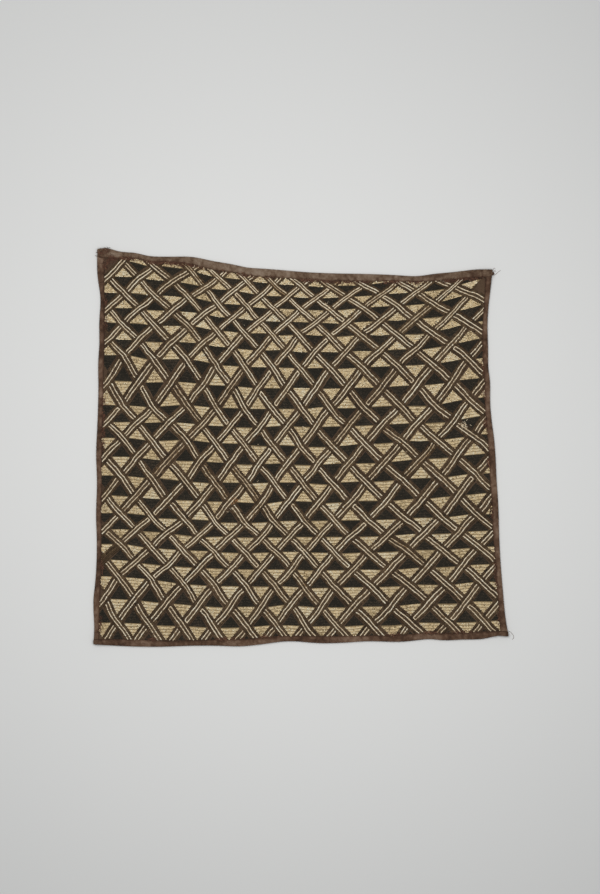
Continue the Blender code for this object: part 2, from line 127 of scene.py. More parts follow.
def smooth_noise(x: Array, y: Array, size: float, seed: int) -> Array:
    """Smooth random values from -1 to 1 over a plane.

    Args:
        x: places along X, in metres.
        y: places along Y, in metres.
        size: the distance between the random values, in metres.
        seed: chooses the values.

    Returns:
        One value for each place.
    """
    cells = np.random.default_rng(seed).uniform(-1, 1, (NOISE_CELLS, NOISE_CELLS))
    column, row = x / size + NOISE_CELLS // 2, y / size + NOISE_CELLS // 2
    c, r = np.floor(column).astype(int), np.floor(row).astype(int)
    s, t = column - c, row - r
    s, t = s * s * (3 - 2 * s), t * t * (3 - 2 * t)
    c, r = c % (NOISE_CELLS - 1), r % (NOISE_CELLS - 1)
    low = cells[r, c] * (1 - s) + cells[r, c + 1] * s
    high = cells[r + 1, c] * (1 - s) + cells[r + 1, c + 1] * s
    return low * (1 - t) + high * t


@dataclass
class EdgeLine:
    """One edge of the cloth, read from the solid of the strip that is folded over it.

    Args:
        along: places along the edge, in metres, rising.
        fold: where the strip's outer fold lies at each of them.
        inner: where the strip's inner edge lies at each of them.
    """

    along: Array
    fold: Array
    inner: Array

    @classmethod
    def from_node(cls, node: bpy.types.Object, axis: int, outward: int) -> "EdgeLine":
        """Reads an edge from a strip's solid.

        Args:
            node: the strip's solid, whose sections stand at single places along it.
            axis: 0 where the edge runs along X, 1 where it runs along Y.
            outward: 1 where the fold faces the positive side, else -1.

        Returns:
            The edge's line.
        """
        points = np.array([v.co[:2] for v in node.data.vertices])
        places = np.round(points[:, axis], 5)
        along = np.unique(places)
        across = points[:, 1 - axis] * outward
        fold = np.array([across[places == place].max() for place in along])
        inner = np.array([across[places == place].min() for place in along])
        return cls(along, fold * outward, inner * outward)

    def fold_at(self, at: Array) -> Array:
        """Where the outer fold lies at places along the edge."""
        return np.interp(at, self.along, self.fold)

    def inner_at(self, at: Array) -> Array:
        """Where the strip's inner edge lies at places along the edge."""
        return np.interp(at, self.along, self.inner)


class ClothPlan:
    """The cloth's plan: where a share of the field or a crossing of the bands lies."""

    CORNER_STEPS = 8  # times that a corner is drawn nearer to where its two edges meet

    def __init__(self, nodes: dict[str, bpy.types.Object]) -> None:
        """Reads the four edges from the strips' solids.

        Args:
            nodes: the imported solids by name.
        """
        self.left = EdgeLine.from_node(nodes["binding_left"], 1, -1)
        self.right = EdgeLine.from_node(nodes["binding_right"], 1, 1)
        self.top = EdgeLine.from_node(nodes["binding_top"], 0, 1)
        self.bottom = EdgeLine.from_node(nodes["binding_bottom"], 0, -1)
        self.field_corners = self.corners(False)
        self.outer_corners = self.corners(True)
        spans = self.field_corners[1] - self.field_corners[0]
        self.column_table, self.row_table = CROSSING_COLUMNS.mean(0), CROSSING_ROWS.mean(0)
        ends = np.array((0.0, 1.0))
        self.column_start, self.column_end = self.cell(self.column_table, ends)
        self.row_start, self.row_end = self.cell(self.row_table, ends)
        drop = self.field_corners[0][1] - self.field_corners[2][1]
        wide = spans[0] / (self.column_end - self.column_start)
        high = drop / (self.row_end - self.row_start)
        self.band_pitch = wide * high / np.hypot(wide, high)
        self.half_band = BAND_WIDTH / 2 / self.band_pitch

    def side(self, edge: EdgeLine, at: Array, outer: bool) -> Array:
        """The field's or the ground's own boundary at places along an edge.

        Args:
            edge: the edge.
            at: the places along it.
            outer: whether the ground's boundary is meant and not the field's.

        Returns:
            The boundary's distance from the cloth's middle, with its sign.
        """
        if not outer:
            return edge.inner_at(at)
        return edge.fold_at(at) - np.sign(edge.fold.mean()) * GROUND_INSET

    def corners(self, outer: bool) -> list[Array]:
        """The four corners of the field, or of the ground's own outline.

        Args:
            outer: whether the ground's outline is meant.

        Returns:
            Top left, top right, bottom left and bottom right.
        """
        found = []
        for end in (self.top, self.bottom):
            for edge in (self.left, self.right):
                x = y = np.float64(0)
                for _ in range(self.CORNER_STEPS):
                    y = self.side(end, x, outer)
                    x = self.side(edge, y, outer)
                found.append(np.array((x, y)))
        return found

    def patch(self, u: Array, v: Array, outer: bool = False) -> Array:
        """Points of the cloth at shares from the left and from the top: a Coons patch.

        Args:
            u: shares from the left.
            v: shares from the top.
            outer: whether the shares are of the ground and not of the field.

        Returns:
            Points (n, 2).
        """
        tl, tr, bl, br = self.outer_corners if outer else self.field_corners
        x_top, x_bottom = tl[0] + (tr - tl)[0] * u, bl[0] + (br - bl)[0] * u
        y_left, y_right = tl[1] + (bl - tl)[1] * v, tr[1] + (br - tr)[1] * v
        top = np.stack((x_top, self.side(self.top, x_top, outer)), -1)
        bottom = np.stack((x_bottom, self.side(self.bottom, x_bottom, outer)), -1)
        left = np.stack((self.side(self.left, y_left, outer), y_left), -1)
        right = np.stack((self.side(self.right, y_right, outer), y_right), -1)
        u, v = u[..., None], v[..., None]
        corner = (tl * (1 - u) + tr * u) * (1 - v) + (bl * (1 - u) + br * u) * v
        return top * (1 - v) + bottom * v + left * (1 - u) + right * u - corner

    @staticmethod
    def share(table: Array, cell: Array) -> Array:
        """Shares of the field at lattice coordinates, with the end spacing carried on."""
        k = np.clip(np.floor(cell).astype(int), 0, len(table) - 2)
        return table[k] + (table[k + 1] - table[k]) * (cell - k)

    @staticmethod
    def cell(table: Array, share: Array) -> Array:
        """Lattice coordinates at shares of the field."""
        k = np.clip(np.searchsorted(table, share) - 1, 0, len(table) - 2)
        return k + (share - table[k]) / (table[k + 1] - table[k])

    def band_shares(self, falling: Array, rising: Array) -> tuple[Array, Array]:
        """Shares of the field at band coordinates.

        Args:
            falling: whole on the falling bands.
            rising: whole on the rising bands.

        Returns:
            Shares from the left and from the top.
        """
        column, row = (rising + falling) / 2, (rising - falling) / 2
        u, v = self.share(self.column_table, column), self.share(self.row_table, row)
        at_top, at_bottom = (self.share(table, column) for table in CROSSING_COLUMNS)
        heights = [self.share(table, row) for table in CROSSING_ROWS]
        height = heights[0]
        for before, after, low, high in zip(heights, heights[1:], ROW_PLACES, ROW_PLACES[1:]):
            height = height + (after - before) * np.clip((u - low) / (high - low), 0, 1)
        across = at_top * (1 - v) + at_bottom * v
        stray = [smooth_noise(across, height, STRAY_REACH, seed) for seed in (41, 42)]
        return across + LATTICE_STRAY * stray[0], height + LATTICE_STRAY * stray[1]

    def surface(self, xy: Array) -> Array:
        """Height of the ground's upper face, which rises to the strips.

        Args:
            xy: points, (n, 2).

        Returns:
            One height for each point.
        """
        x, y = xy[..., 0], xy[..., 1]
        side = np.minimum(x - self.left.inner_at(y), self.right.inner_at(y) - x)
        end = np.minimum(self.top.inner_at(x) - y, y - self.bottom.inner_at(x))
        rises = [
            np.clip((RISE_END - d) / (RISE_END - RISE_START), 0, 1) for d in (side, end)
        ]
        return STRIP_LAYER * (rises[0] + rises[1]) + GROUND_THICK

    def on_surface(self, falling: Array, rising: Array) -> tuple[Array, Array]:
        """Points on the ground at band coordinates.

        Args:
            falling: whole on the falling bands.
            rising: whole on the rising bands.

        Returns:
            The points, (n, 3), and whether each lies inside the worked field.
        """
        u, v = self.band_shares(falling, rising)
        xy = self.patch(u, v)
        inside = np.minimum(np.minimum(u, 1 - u), np.minimum(v, 1 - v)) > -EDGE_SLACK
        inside &= rising > FIRST_RISING
        inside &= (xy[..., 0] < BARE_SLOT[0]) | (xy[..., 1] < BARE_SLOT[1])
        return np.concatenate((xy, self.surface(xy)[..., None]), -1), inside

    def lift(self, xy: Array) -> Array:
        """Points (n, 2) with the ground's height added."""
        return np.column_stack((xy, self.surface(xy)))

    def clipped(self, shares: Array) -> Array:
        """The part of a flat-sided plan that lies inside the field.

        Args:
            shares: (n, 2) corners in shares of the field.

        Returns:
            The corners of the part inside, which may be none.
        """
        for axis, way in ((0, 1), (0, -1), (1, 1), (1, -1)):
            depth = shares[:, axis] * way + (way < 0)
            kept = []
            for k in range(len(shares)):
                after = (k + 1) % len(shares)
                if depth[k] >= 0:
                    kept.append(shares[k])
                if (depth[k] < 0) != (depth[after] < 0):
                    part = depth[k] / (depth[k] - depth[after])
                    kept.append(shares[k] + (shares[after] - shares[k]) * part)
            if len(kept) < 3:
                return np.zeros((0, 2))
            shares = np.array(kept)
        return shares


# Templates of the smallest things, along x (ahead), y (aside) and z (up), in unit sizes
STITCH_POINTS = np.array(
    (
        (-0.5, 0, 0.15), (-0.22, 0.5, 0), (-0.22, 0, 1), (-0.22, -0.5, 0),
        (0.22, 0.5, 0), (0.22, 0, 1), (0.22, -0.5, 0), (0.5, 0, 0.15),
    )
)
STITCH_FACES = np.array(
    (
        (0, 2, 1), (0, 3, 2), (1, 2, 5), (1, 5, 4), (2, 3, 6), (2, 6, 5),
        (4, 5, 7), (5, 6, 7), (0, 1, 3), (1, 4, 6), (1, 6, 3), (4, 7, 6),
    )
)
TUFT_POINTS = np.array(
    (
        (-0.42, -0.36, 0), (0.42, -0.36, 0), (0, 0.46, 0),
        (-0.5, -0.44, 1), (0.5, -0.44, 1), (0, 0.54, 1),
    )
)
TUFT_FACES = np.array(
    ((0, 1, 4), (0, 4, 3), (1, 2, 5), (1, 5, 4), (2, 0, 3), (2, 3, 5), (3, 4, 5), (0, 2, 1))
)
YARN_SIDES = 4  # faces round a thread
THREAD_END, THREAD_SWELL = 0.35, 6  # the thickness of a thread's ends, and how soon it is full


def mesh_object(name: str, points: Array, faces: Array, tones: Array) -> bpy.types.Object:
    """Makes an object of triangles, with a tone for each point.

    Args:
        name: the object's name.
        points: (n, 3) in metres.
        faces: (m, 3) indices.
        tones: n values from 0, dark, to 1, light.

    Returns:
        The object, smooth-shaded, at the origin.
    """
    mesh = bpy.data.meshes.new(name)
    mesh.from_pydata(points, [], faces)
    made = bpy.data.objects.new(name, mesh)
    bpy.context.collection.objects.link(made)
    set_tones(made, tones)
    mesh.shade_smooth()
    return made


def yarn_mesh(yarns: list[tuple[Array, float]], sides: int = YARN_SIDES) -> tuple[Array, Array]:
    """Rounds thin threads along their paths.

    Args:
        yarns: each thread's points, (n, 3), and half thickness.
        sides: faces round a thread.

    Returns:
        Points and triangles of all the threads.
    """
    points, faces, start = [], [], 0
    turns = np.arange(sides) / sides * 2 * np.pi
    for path, radius in yarns:
        ahead = np.gradient(path, axis=0)
        ahead /= np.linalg.norm(ahead, axis=1)[:, None]
        aside = np.cross(ahead, (0.0, 0.0, 1.0)) + (1e-6, 0, 0)
        aside /= np.linalg.norm(aside, axis=1)[:, None]
        over = np.cross(aside, ahead)
        part = np.linspace(0, 1, len(path))
        taper = radius * np.minimum(1, THREAD_END + THREAD_SWELL * part * (1 - part))
        ring = aside[:, None] * np.cos(turns)[:, None] + over[:, None] * np.sin(turns)[:, None]
        points.append((path[:, None] + ring * taper[:, None, None]).reshape(-1, 3))
        for k in range(len(path) - 1):
            for s in range(sides):
                a, b = start + k * sides + s, start + k * sides + (s + 1) % sides
                faces += [(a, b, b + sides), (a, b + sides, a + sides)]
        last = start + (len(path) - 1) * sides
        faces += [(start, start + s + 1, start + s) for s in range(1, sides - 1)]
        faces += [(last, last + s, last + s + 1) for s in range(1, sides - 1)]
        start += len(path) * sides
    return np.concatenate(points), np.array(faces)


def scatter(
    name: str, template: tuple[Array, Array], origins: Array, ahead: Array, sizes: Array, tones: Array
) -> bpy.types.Object:
    """Lays copies of a small template flat on the cloth and joins them into one mesh.

    Args:
        name: the object's name.
        template: its points in unit sizes and its triangles.
        origins: (n, 3) where the copies stand.
        ahead: (n, 3) the way each copy's length points.
        sizes: (n, 3) each copy's length, width and height.
        tones: n values from 0 to 1.

    Returns:
        The joined object.
    """
    shape, faces = template
    ahead = ahead / np.linalg.norm(ahead, axis=1)[:, None]
    aside = np.stack((-ahead[:, 1], ahead[:, 0], np.zeros(len(ahead))), -1)
    aside /= np.linalg.norm(aside, axis=1)[:, None]
    frames = np.stack((ahead, aside, np.cross(ahead, aside)), 1)
    points = origins[:, None] + np.einsum("kj,nj,njc->nkc", shape, sizes, frames)
    starts = np.arange(len(origins)) * len(shape)
    triangles = (faces[None] + starts[:, None, None]).reshape(-1, 3)
    return mesh_object(name, points.reshape(-1, 3), triangles, np.repeat(tones, len(shape)))


def new_group(name: str, inputs: tuple[tuple[str, float], ...]) -> bpy.types.NodeTree:
    """Starts a shader node group with number inputs, a Mask output and a Normal output.

    Args:
        name: the group's name.
        inputs: each input's name and usual value.

    Returns:
        The group, with its input and output nodes named In and Out.
    """
    tree = bpy.data.node_groups.new(name, "ShaderNodeTree")
    for label, value in inputs:
        socket = tree.interface.new_socket(label, in_out="INPUT", socket_type="NodeSocketFloat")
        socket.default_value = value
    tree.interface.new_socket("Mask", in_out="OUTPUT", socket_type="NodeSocketFloat")
    tree.interface.new_socket("Normal", in_out="OUTPUT", socket_type="NodeSocketVector")
    tree.nodes.new("NodeGroupInput").name = "In"
    tree.nodes.new("NodeGroupOutput").name = "Out"
    return tree


# The effects' own values: noise scales, shares of a tone, and metres
BROAD_STREAKS, BROAD_SHARE, FIBRE_RELIEF = 90.0, 0.35, 0.0004
THREAD_WANDER, WANDER_SCALE, WEAVE_RELIEF = 0.0012, 160.0, 0.0003


def fibre_group() -> bpy.types.NodeTree:
    """Builds the raffia fibre effect: fine streaks in tone and relief.

    Returns:
        The group.
    """
    tree = new_group("RaffiaFibre", (("Scale", 1400.0), ("Depth", 0.3)))
    nodes, link = tree.nodes, tree.links.new
    place = nodes.new("ShaderNodeTexCoord")
    fine, broad = nodes.new("ShaderNodeTexNoise"), nodes.new("ShaderNodeTexNoise")
    broad.inputs["Scale"].default_value = BROAD_STREAKS
    mix, bump = nodes.new("ShaderNodeMath"), nodes.new("ShaderNodeBump")
    mix.operation = "MULTIPLY_ADD"
    mix.inputs[1].default_value = 1 - BROAD_SHARE
    half = nodes.new("ShaderNodeMath")
    half.operation = "MULTIPLY"
    half.inputs[1].default_value = BROAD_SHARE
    bump.inputs["Distance"].default_value = FIBRE_RELIEF
    link(place.outputs["Object"], fine.inputs["Vector"])
    link(place.outputs["Object"], broad.inputs["Vector"])
    link(nodes["In"].outputs["Scale"], fine.inputs["Scale"])
    link(broad.outputs["Fac"], half.inputs[0])
    link(fine.outputs["Fac"], mix.inputs[0])
    link(half.outputs[0], mix.inputs[2])
    link(nodes["In"].outputs["Depth"], bump.inputs["Strength"])
    link(fine.outputs["Fac"], bump.inputs["Height"])
    link(mix.outputs[0], nodes["Out"].inputs["Mask"])
    link(bump.outputs["Normal"], nodes["Out"].inputs["Normal"])
    return tree


def weave_group() -> bpy.types.NodeTree:
    """Builds the plain weave effect: threads over and under, with uneven thickness.

    Returns:
        The group.
    """
    tree = new_group("RaffiaWeave", (("Threads", 5200.0), ("Depth", 0.6)))
    nodes, link = tree.nodes, tree.links.new
    place, split = nodes.new("ShaderNodeTexCoord"), nodes.new("ShaderNodeSeparateXYZ")
    warp = nodes.new("ShaderNodeTexNoise")
    warp.inputs["Scale"].default_value = WANDER_SCALE
    shift = nodes.new("ShaderNodeVectorMath")
    shift.operation = "MULTIPLY_ADD"
    shift.inputs[1].default_value = (THREAD_WANDER, THREAD_WANDER, 0.0)
    link(place.outputs["Object"], warp.inputs["Vector"])
    link(warp.outputs["Color"], shift.inputs[0])
    link(place.outputs["Object"], shift.inputs[2])
    link(shift.outputs[0], split.inputs[0])
    waves = []
    for axis in ("X", "Y"):
        scaled, wave = nodes.new("ShaderNodeMath"), nodes.new("ShaderNodeMath")
        scaled.operation, wave.operation = "MULTIPLY", "SINE"
        link(split.outputs[axis], scaled.inputs[0])
        link(nodes["In"].outputs["Threads"], scaled.inputs[1])
        link(scaled.outputs[0], wave.inputs[0])
        waves.append(wave)
    over, lift = nodes.new("ShaderNodeMath"), nodes.new("ShaderNodeMath")
    over.operation, lift.operation = "MULTIPLY", "MULTIPLY_ADD"
    lift.inputs[1].default_value = lift.inputs[2].default_value = 0.5
    link(waves[0].outputs[0], over.inputs[0])
    link(waves[1].outputs[0], over.inputs[1])
    link(over.outputs[0], lift.inputs[0])
    bump = nodes.new("ShaderNodeBump")
    bump.inputs["Distance"].default_value = WEAVE_RELIEF
    link(nodes["In"].outputs["Depth"], bump.inputs["Strength"])
    link(lift.outputs[0], bump.inputs["Height"])
    link(lift.outputs[0], nodes["Out"].inputs["Mask"])
    link(bump.outputs["Normal"], nodes["Out"].inputs["Normal"])
    return tree


# What all the finishes share: raffia is dull, with a little sheen on its worn fibres
SPECULAR, SHEEN, ROUGHNESS_CHANGE = 0.25, 0.03, 0.08
DARK_AT, BODY_AT, LIGHT_AT = 0.18, 0.5, 0.85  # the tones at which a finish has its three colours


@dataclass(frozen=True)
class RaffiaFinish:
    """A finish of raffia yarn or cloth.

    Args:
        name: the material's name.
        slot: the name of a material slot; not used.
        dark: colour of its shaded parts, linear.
        body: its main colour, linear.
        light: colour of its worn and lit parts, linear.
        roughness: of the shader.
        effect: the node group that gives its fine relief.
        grain: the effect's first input.
        depth: the effect's second input.
        grain_share: how much of the tone the effect gives, against the points' own tone.
    """

    name: str
    slot: str
    dark: tuple[float, float, float]
    body: tuple[float, float, float]
    light: tuple[float, float, float]
    roughness: float
    effect: str
    grain: float
    depth: float
    grain_share: float = 0.5

    def material(self) -> bpy.types.Material:
        """Builds the material's nodes.

        Returns:
            The material.
        """
        made = bpy.data.materials.new(self.name)
        made.use_nodes = True
        nodes, link = made.node_tree.nodes, made.node_tree.links.new
        shader = nodes["Principled BSDF"]
        shader.inputs["Specular IOR Level"].default_value = SPECULAR
        shader.inputs["Sheen Weight"].default_value = SHEEN
        effect = nodes.new("ShaderNodeGroup")
        effect.node_tree = bpy.data.node_groups[self.effect]
        effect.inputs[0].default_value = self.grain
        effect.inputs[1].default_value = self.depth
        tone, mix = nodes.new("ShaderNodeAttribute"), nodes.new("ShaderNodeMix")
        tone.attribute_name = "tone"
        mix.inputs["Factor"].default_value = self.grain_share
        ramp = nodes.new("ShaderNodeValToRGB")
        ramp.color_ramp.elements[0].position = DARK_AT
        ramp.color_ramp.elements[0].color = (*self.dark, 1)
        ramp.color_ramp.elements[1].position = LIGHT_AT
        ramp.color_ramp.elements[1].color = (*self.light, 1)
        ramp.color_ramp.elements.new(BODY_AT).color = (*self.body, 1)
        rough = nodes.new("ShaderNodeMapRange")
        rough.inputs["To Min"].default_value = self.roughness + ROUGHNESS_CHANGE
        rough.inputs["To Max"].default_value = self.roughness - ROUGHNESS_CHANGE
        link(tone.outputs["Fac"], mix.inputs["A"])
        link(effect.outputs["Mask"], mix.inputs["B"])
        link(mix.outputs["Result"], ramp.inputs["Fac"])
        link(mix.outputs["Result"], rough.inputs["Value"])
        link(ramp.outputs["Color"], shader.inputs["Base Color"])
        link(rough.outputs["Result"], shader.inputs["Roughness"])
        link(effect.outputs["Normal"], shader.inputs["Normal"])
        return made


GROUND_FINISH = RaffiaFinish(
    "woven_ground", "worked_raffia",
    (0.024, 0.014, 0.008), (0.078, 0.046, 0.027), (0.18, 0.115, 0.066),
    0.88, "RaffiaWeave", 5200.0, 0.8,
)
# The top strip is the same brown binding cloth as the others, painted lighter and greyer as a highlight
# because it faces the light
LIT_TOP_STRIP_FINISH = RaffiaFinish(
    "binding_cloth_top_lit", "brown_binding",
    (0.064, 0.032, 0.018), (0.170, 0.109, 0.068), (0.30, 0.225, 0.165),
    0.9, "RaffiaWeave", 6400.0, 0.8, 0.35,
)
STRIP_FINISH = RaffiaFinish(
    "binding_cloth", "brown_binding",
    (0.046, 0.023, 0.013), (0.120, 0.065, 0.038), (0.25, 0.165, 0.112),
    0.9, "RaffiaWeave", 6400.0, 0.8, 0.35,
)
PALE_LINE_FINISH = RaffiaFinish(
    "pale_stitches", "pale_raffia",
    (0.30, 0.19, 0.090), (0.80, 0.650, 0.44), (1.0, 0.92, 0.72),
    0.72, "RaffiaFibre", 1500.0, 0.3, 0.3,
)
DARK_LINE_FINISH = RaffiaFinish(
    "brown_stitches", "dark_raffia",
    (0.021, 0.012, 0.005), (0.073, 0.043, 0.019), (0.17, 0.11, 0.056),
    0.85, "RaffiaFibre", 1500.0, 0.3, 0.3,
)
PALE_PILE_FINISH = RaffiaFinish(
    "pale_pile", "pale_raffia",
    (0.11, 0.070, 0.030), (0.90, 0.70, 0.40), (1.0, 0.95, 0.74),
    0.85, "RaffiaFibre", 1800.0, 0.35, 0.3,
)
BLACK_PILE_FINISH = RaffiaFinish(
    "black_pile", "black_pile",
    (0.014, 0.012, 0.008), (0.031, 0.026, 0.018), (0.10, 0.072, 0.046),
    0.9, "RaffiaFibre", 1800.0, 0.35, 0.4,
)
THREAD_FINISH = RaffiaFinish(
    "sewing_thread", "brown_binding",
    (0.026, 0.013, 0.009), (0.115, 0.050, 0.029), (0.25, 0.125, 0.072),
    0.85, "RaffiaFibre", 2500.0, 0.3, 0.4,
)
ORANGE_FINISH = RaffiaFinish(
    "worn_raffia", "pale_raffia",
    (0.12, 0.055, 0.018), (0.42, 0.20, 0.075), (0.66, 0.40, 0.19),
    0.8, "RaffiaFibre", 1500.0, 0.3, 0.3,
)


def place_on_root(piece: bpy.types.Object, finish: RaffiaFinish) -> bpy.types.Object:
    """Dresses a finished piece, lets it ride on the cloth's body and reports it.

    Args:
        piece: the finished object.
        finish: its finish.

    Returns:
        The piece.
    """
    material = bpy.data.materials.get(finish.name) or finish.material()
    piece.data.materials.clear()
    piece.data.materials.append(material)
    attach(piece, "root")
    LOG.info("%s: %d faces", piece.name, len(piece.data.polygons))
    return piece


def activate(piece: bpy.types.Object) -> None:
    """Selects one object alone and makes it active.

    Args:
        piece: the object.
    """
    bpy.ops.object.select_all(action="DESELECT")
    piece.select_set(True)
    bpy.context.view_layer.objects.active = piece


def set_tones(piece: bpy.types.Object, tones: Array) -> None:
    """Gives each point of a mesh its tone, from 0, dark, to 1, light."""
    piece.data.attributes.new("tone", "FLOAT", "POINT").data.foreach_set("value", tones.ravel())


def point_array(piece: bpy.types.Object) -> Array:
    """Reads the points of an object's mesh.

    Args:
        piece: the object.

    Returns:
        The points, (n, 3).
    """
    points = np.zeros(len(piece.data.vertices) * 3)
    piece.data.vertices.foreach_get("co", points)
    return points.reshape(-1, 3)


@dataclass
class WovenGround:
    """The plain-woven raffia ground, one sheet under all the work.

    Args:
        plan: the cloth's plan.
        cells: squares along each side of its grid.
        unevenness: how far its face rises and falls.
        wave: the distance from one rise to the next.
        mottle: the size of its lighter and darker places.
        mottle_change: how much those differ in tone.
    """

    plan: ClothPlan
    cells: int = 170
    unevenness: float = 0.00012
    wave: float = 0.009
    mottle: float = 0.02
    mottle_change: float = 0.35

    def build(self) -> bpy.types.Object:
        """Models the sheet on the solid's outline, with its thickness below its face.

        Returns:
            The sheet.
        """
        bpy.ops.object.select_all(action="DESELECT")
        bpy.ops.mesh.primitive_grid_add(
            x_subdivisions=self.cells, y_subdivisions=self.cells, size=1, location=(0, 0, 0)
        )
        sheet = bpy.context.active_object
        sheet.name = sheet.data.name = "woven_ground"
        points = point_array(sheet)
        xy = self.plan.patch(points[:, 0] + 0.5, 0.5 - points[:, 1], outer=True)
        z = self.plan.surface(xy) + self.unevenness * smooth_noise(*xy.T, self.wave, 3)
        sheet.data.vertices.foreach_set("co", np.column_stack((xy, z)).ravel())
        set_tones(sheet, MID_TONE + self.mottle_change * smooth_noise(*xy.T, self.mottle, 4))
        activate(sheet)
        thickness = sheet.modifiers.new("thickness", "SOLIDIFY")
        thickness.thickness = GROUND_THICK - 2 * self.unevenness
        thickness.offset = -1
        bpy.ops.object.modifier_apply(modifier=thickness.name)
        sheet.data.shade_smooth()
        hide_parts("ground_cloth")
        return place_on_root(sheet, GROUND_FINISH)


@dataclass
class BindingStrip:
    """A brown strip folded over one edge and sewn down through the cloth.

    Args:
        node: the name of its solid, which gives its folded form.
        axis: 0 where it runs along X, 1 along Y.
        pucker_gap: the usual distance between its stitched puckers.
        pucker_depth: how deep they draw in its upper face.
        seed: chooses its own creases.
        finish: its finish.
        pucker_width: the narrowest and the widest pucker.
        pucker_change: the least and the greatest distance between two, in usual distances.
        pucker_lean: how far they may lean along the strip, for each step across it.
        pucker_least: how deep the faintest one is, as a share of the deepest.
        crease_sizes: sizes of its broad, soft and fine creases.
        soft_rise: how high the soft creases stand.
        fine_rise: how high the fine ones stand.
        fade: over what height the creases fade out below the upper leg.
        edge_shade_reach: how far from its inner edge its cloth is darkened with painted shade.
        levels: how often its solid is subdivided.
    """

    node: str
    axis: int
    pucker_gap: float
    pucker_depth: float
    seed: int
    finish: RaffiaFinish = STRIP_FINISH
    pucker_width: tuple[float, float] = (0.0008, 0.0022)
    pucker_change: tuple[float, float] = (0.45, 1.5)
    pucker_lean: float = 0.4
    pucker_least: float = 0.4
    crease_sizes: tuple[float, float, float] = (0.019, 0.0045, 0.0016)
    soft_rise: float = 0.00024
    fine_rise: float = 0.00009
    fade: float = 0.001
    edge_shade_reach: float = 0.0017
    levels: int = 3

    def build(self, solid: bpy.types.Object, edge: EdgeLine) -> bpy.types.Object:
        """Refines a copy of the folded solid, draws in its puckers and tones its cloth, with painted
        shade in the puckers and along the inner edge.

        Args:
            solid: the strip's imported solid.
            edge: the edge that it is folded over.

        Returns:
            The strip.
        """
        strip = self.refined_copy(solid)
        points = point_array(strip)
        x, y, along = points[:, 0], points[:, 1], points[:, self.axis]
        from_inner = points[:, 1 - self.axis] - edge.inner_at(along)
        drawn = self.puckers(along, from_inner)
        upper = np.clip((points[:, 2] - points[:, 2].mean()) / self.fade, 0, 1)
        broad, soft, fine = (
            smooth_noise(x, y, size, self.seed + k) for k, size in enumerate(self.crease_sizes)
        )
        crease = self.soft_rise * soft + self.fine_rise * fine
        points[:, 2] += upper * (crease - self.pucker_depth * drawn)
        strip.data.vertices.foreach_set("co", points.ravel())
        # Painted shade: the cloth darkens towards the strip's inner edge, where shade falls between the
        # strip and the field
        edge_shade = np.exp(-((from_inner / self.edge_shade_reach) ** 2)) * (0.8 + 0.3 * fine)
        mottle = 0.34 * broad + 0.26 * soft + 0.18 * fine
        # Painted shade: the tone is lowered in the puckers' hollows and, more, along the strip's inner
        # edge
        set_tones(strip, MID_TONE + mottle - 0.25 * drawn - 0.6 * edge_shade)
        strip.data.shade_smooth()
        strip.data.update()
        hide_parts(self.node)
        return place_on_root(strip, self.finish)

    def refined_copy(self, solid: bpy.types.Object) -> bpy.types.Object:
        """Copies the solid, merges its points and subdivides it.

        Args:
            solid: the strip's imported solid.

        Returns:
            The copy.
        """
        strip = solid.copy()
        strip.data = solid.data.copy()
        for key in list(strip.keys()):
            del strip[key]
        strip.parent = None
        strip.name = strip.data.name = self.node.replace("binding", "strip")
        bpy.context.collection.objects.link(strip)
        activate(strip)
        bpy.ops.object.mode_set(mode="EDIT")
        bpy.ops.mesh.select_all(action="SELECT")
        bpy.ops.mesh.remove_doubles(threshold=MERGE_REACH)
        bpy.ops.mesh.tris_convert_to_quads()
        bpy.ops.object.mode_set(mode="OBJECT")
        finer = strip.modifiers.new("finer", "SUBSURF")
        finer.levels = finer.render_levels = self.levels
        bpy.ops.object.modifier_apply(modifier=finer.name)
        return strip

    def puckers(self, along: Array, across: Array) -> Array:
        """How far the sewing draws in the strip at points, from 0 to 1.

        Args:
            along: the points' places along the strip.
            across: their distances from its inner edge.

        Returns:
            One value for each point.
        """
        rng = np.random.default_rng(self.seed)
        drawn, place = np.zeros(len(along)), along.min()
        while place < along.max():
            place += self.pucker_gap * rng.uniform(*self.pucker_change)
            slant = rng.uniform(-self.pucker_lean, self.pucker_lean)
            width = rng.uniform(*self.pucker_width)
            offset = (along + slant * across - place) / width
            drawn += rng.uniform(self.pucker_least, 1) * np.exp(-(offset**2))
        return np.clip(drawn, 0, 1)


@dataclass(frozen=True)
class BandRow:
    """One of the rows of stitches that make up a band.

    Args:
        offset: its distance from the band's middle.
        width: a stitch's width.
        height: a stitch's height.
        tone: its usual tone.
        pale: whether it is sewn in cream raffia.
    """

    offset: float
    width: float
    height: float
    tone: float
    pale: bool


# The middle brown row's tone, higher than the outer brown rows' of the same raffia, is painted light
# that offsets the shade falling between the two pale rows
BAND_ROWS = (
    BandRow(-0.0047, 0.0032, 0.0005, 0.50, False),
    BandRow(-0.0021, 0.0020, 0.0009, 0.56, True),
    BandRow(0.0, 0.0020, 0.0008, 0.68, False),
    BandRow(0.0021, 0.0020, 0.0009, 0.56, True),
    BandRow(0.0047, 0.0032, 0.0005, 0.50, False),
)


@dataclass(frozen=True)
class StitchRun:
    """Stitches of one row between two places where its band dives under another.

    Args:
        falling: each stitch's place across the falling bands.
        rising: each stitch's place across the rising bands.
        runs_rising: whether the stitches point along the rising coordinate.
        row: the band's row.
        pale: whether they are sewn in cream.
        shade: their usual tone.
    """

    falling: Array
    rising: Array
    runs_rising: bool
    row: BandRow
    pale: bool
    shade: float


STEP = 0.01  # of the lattice, by which the way that a stitch points is read


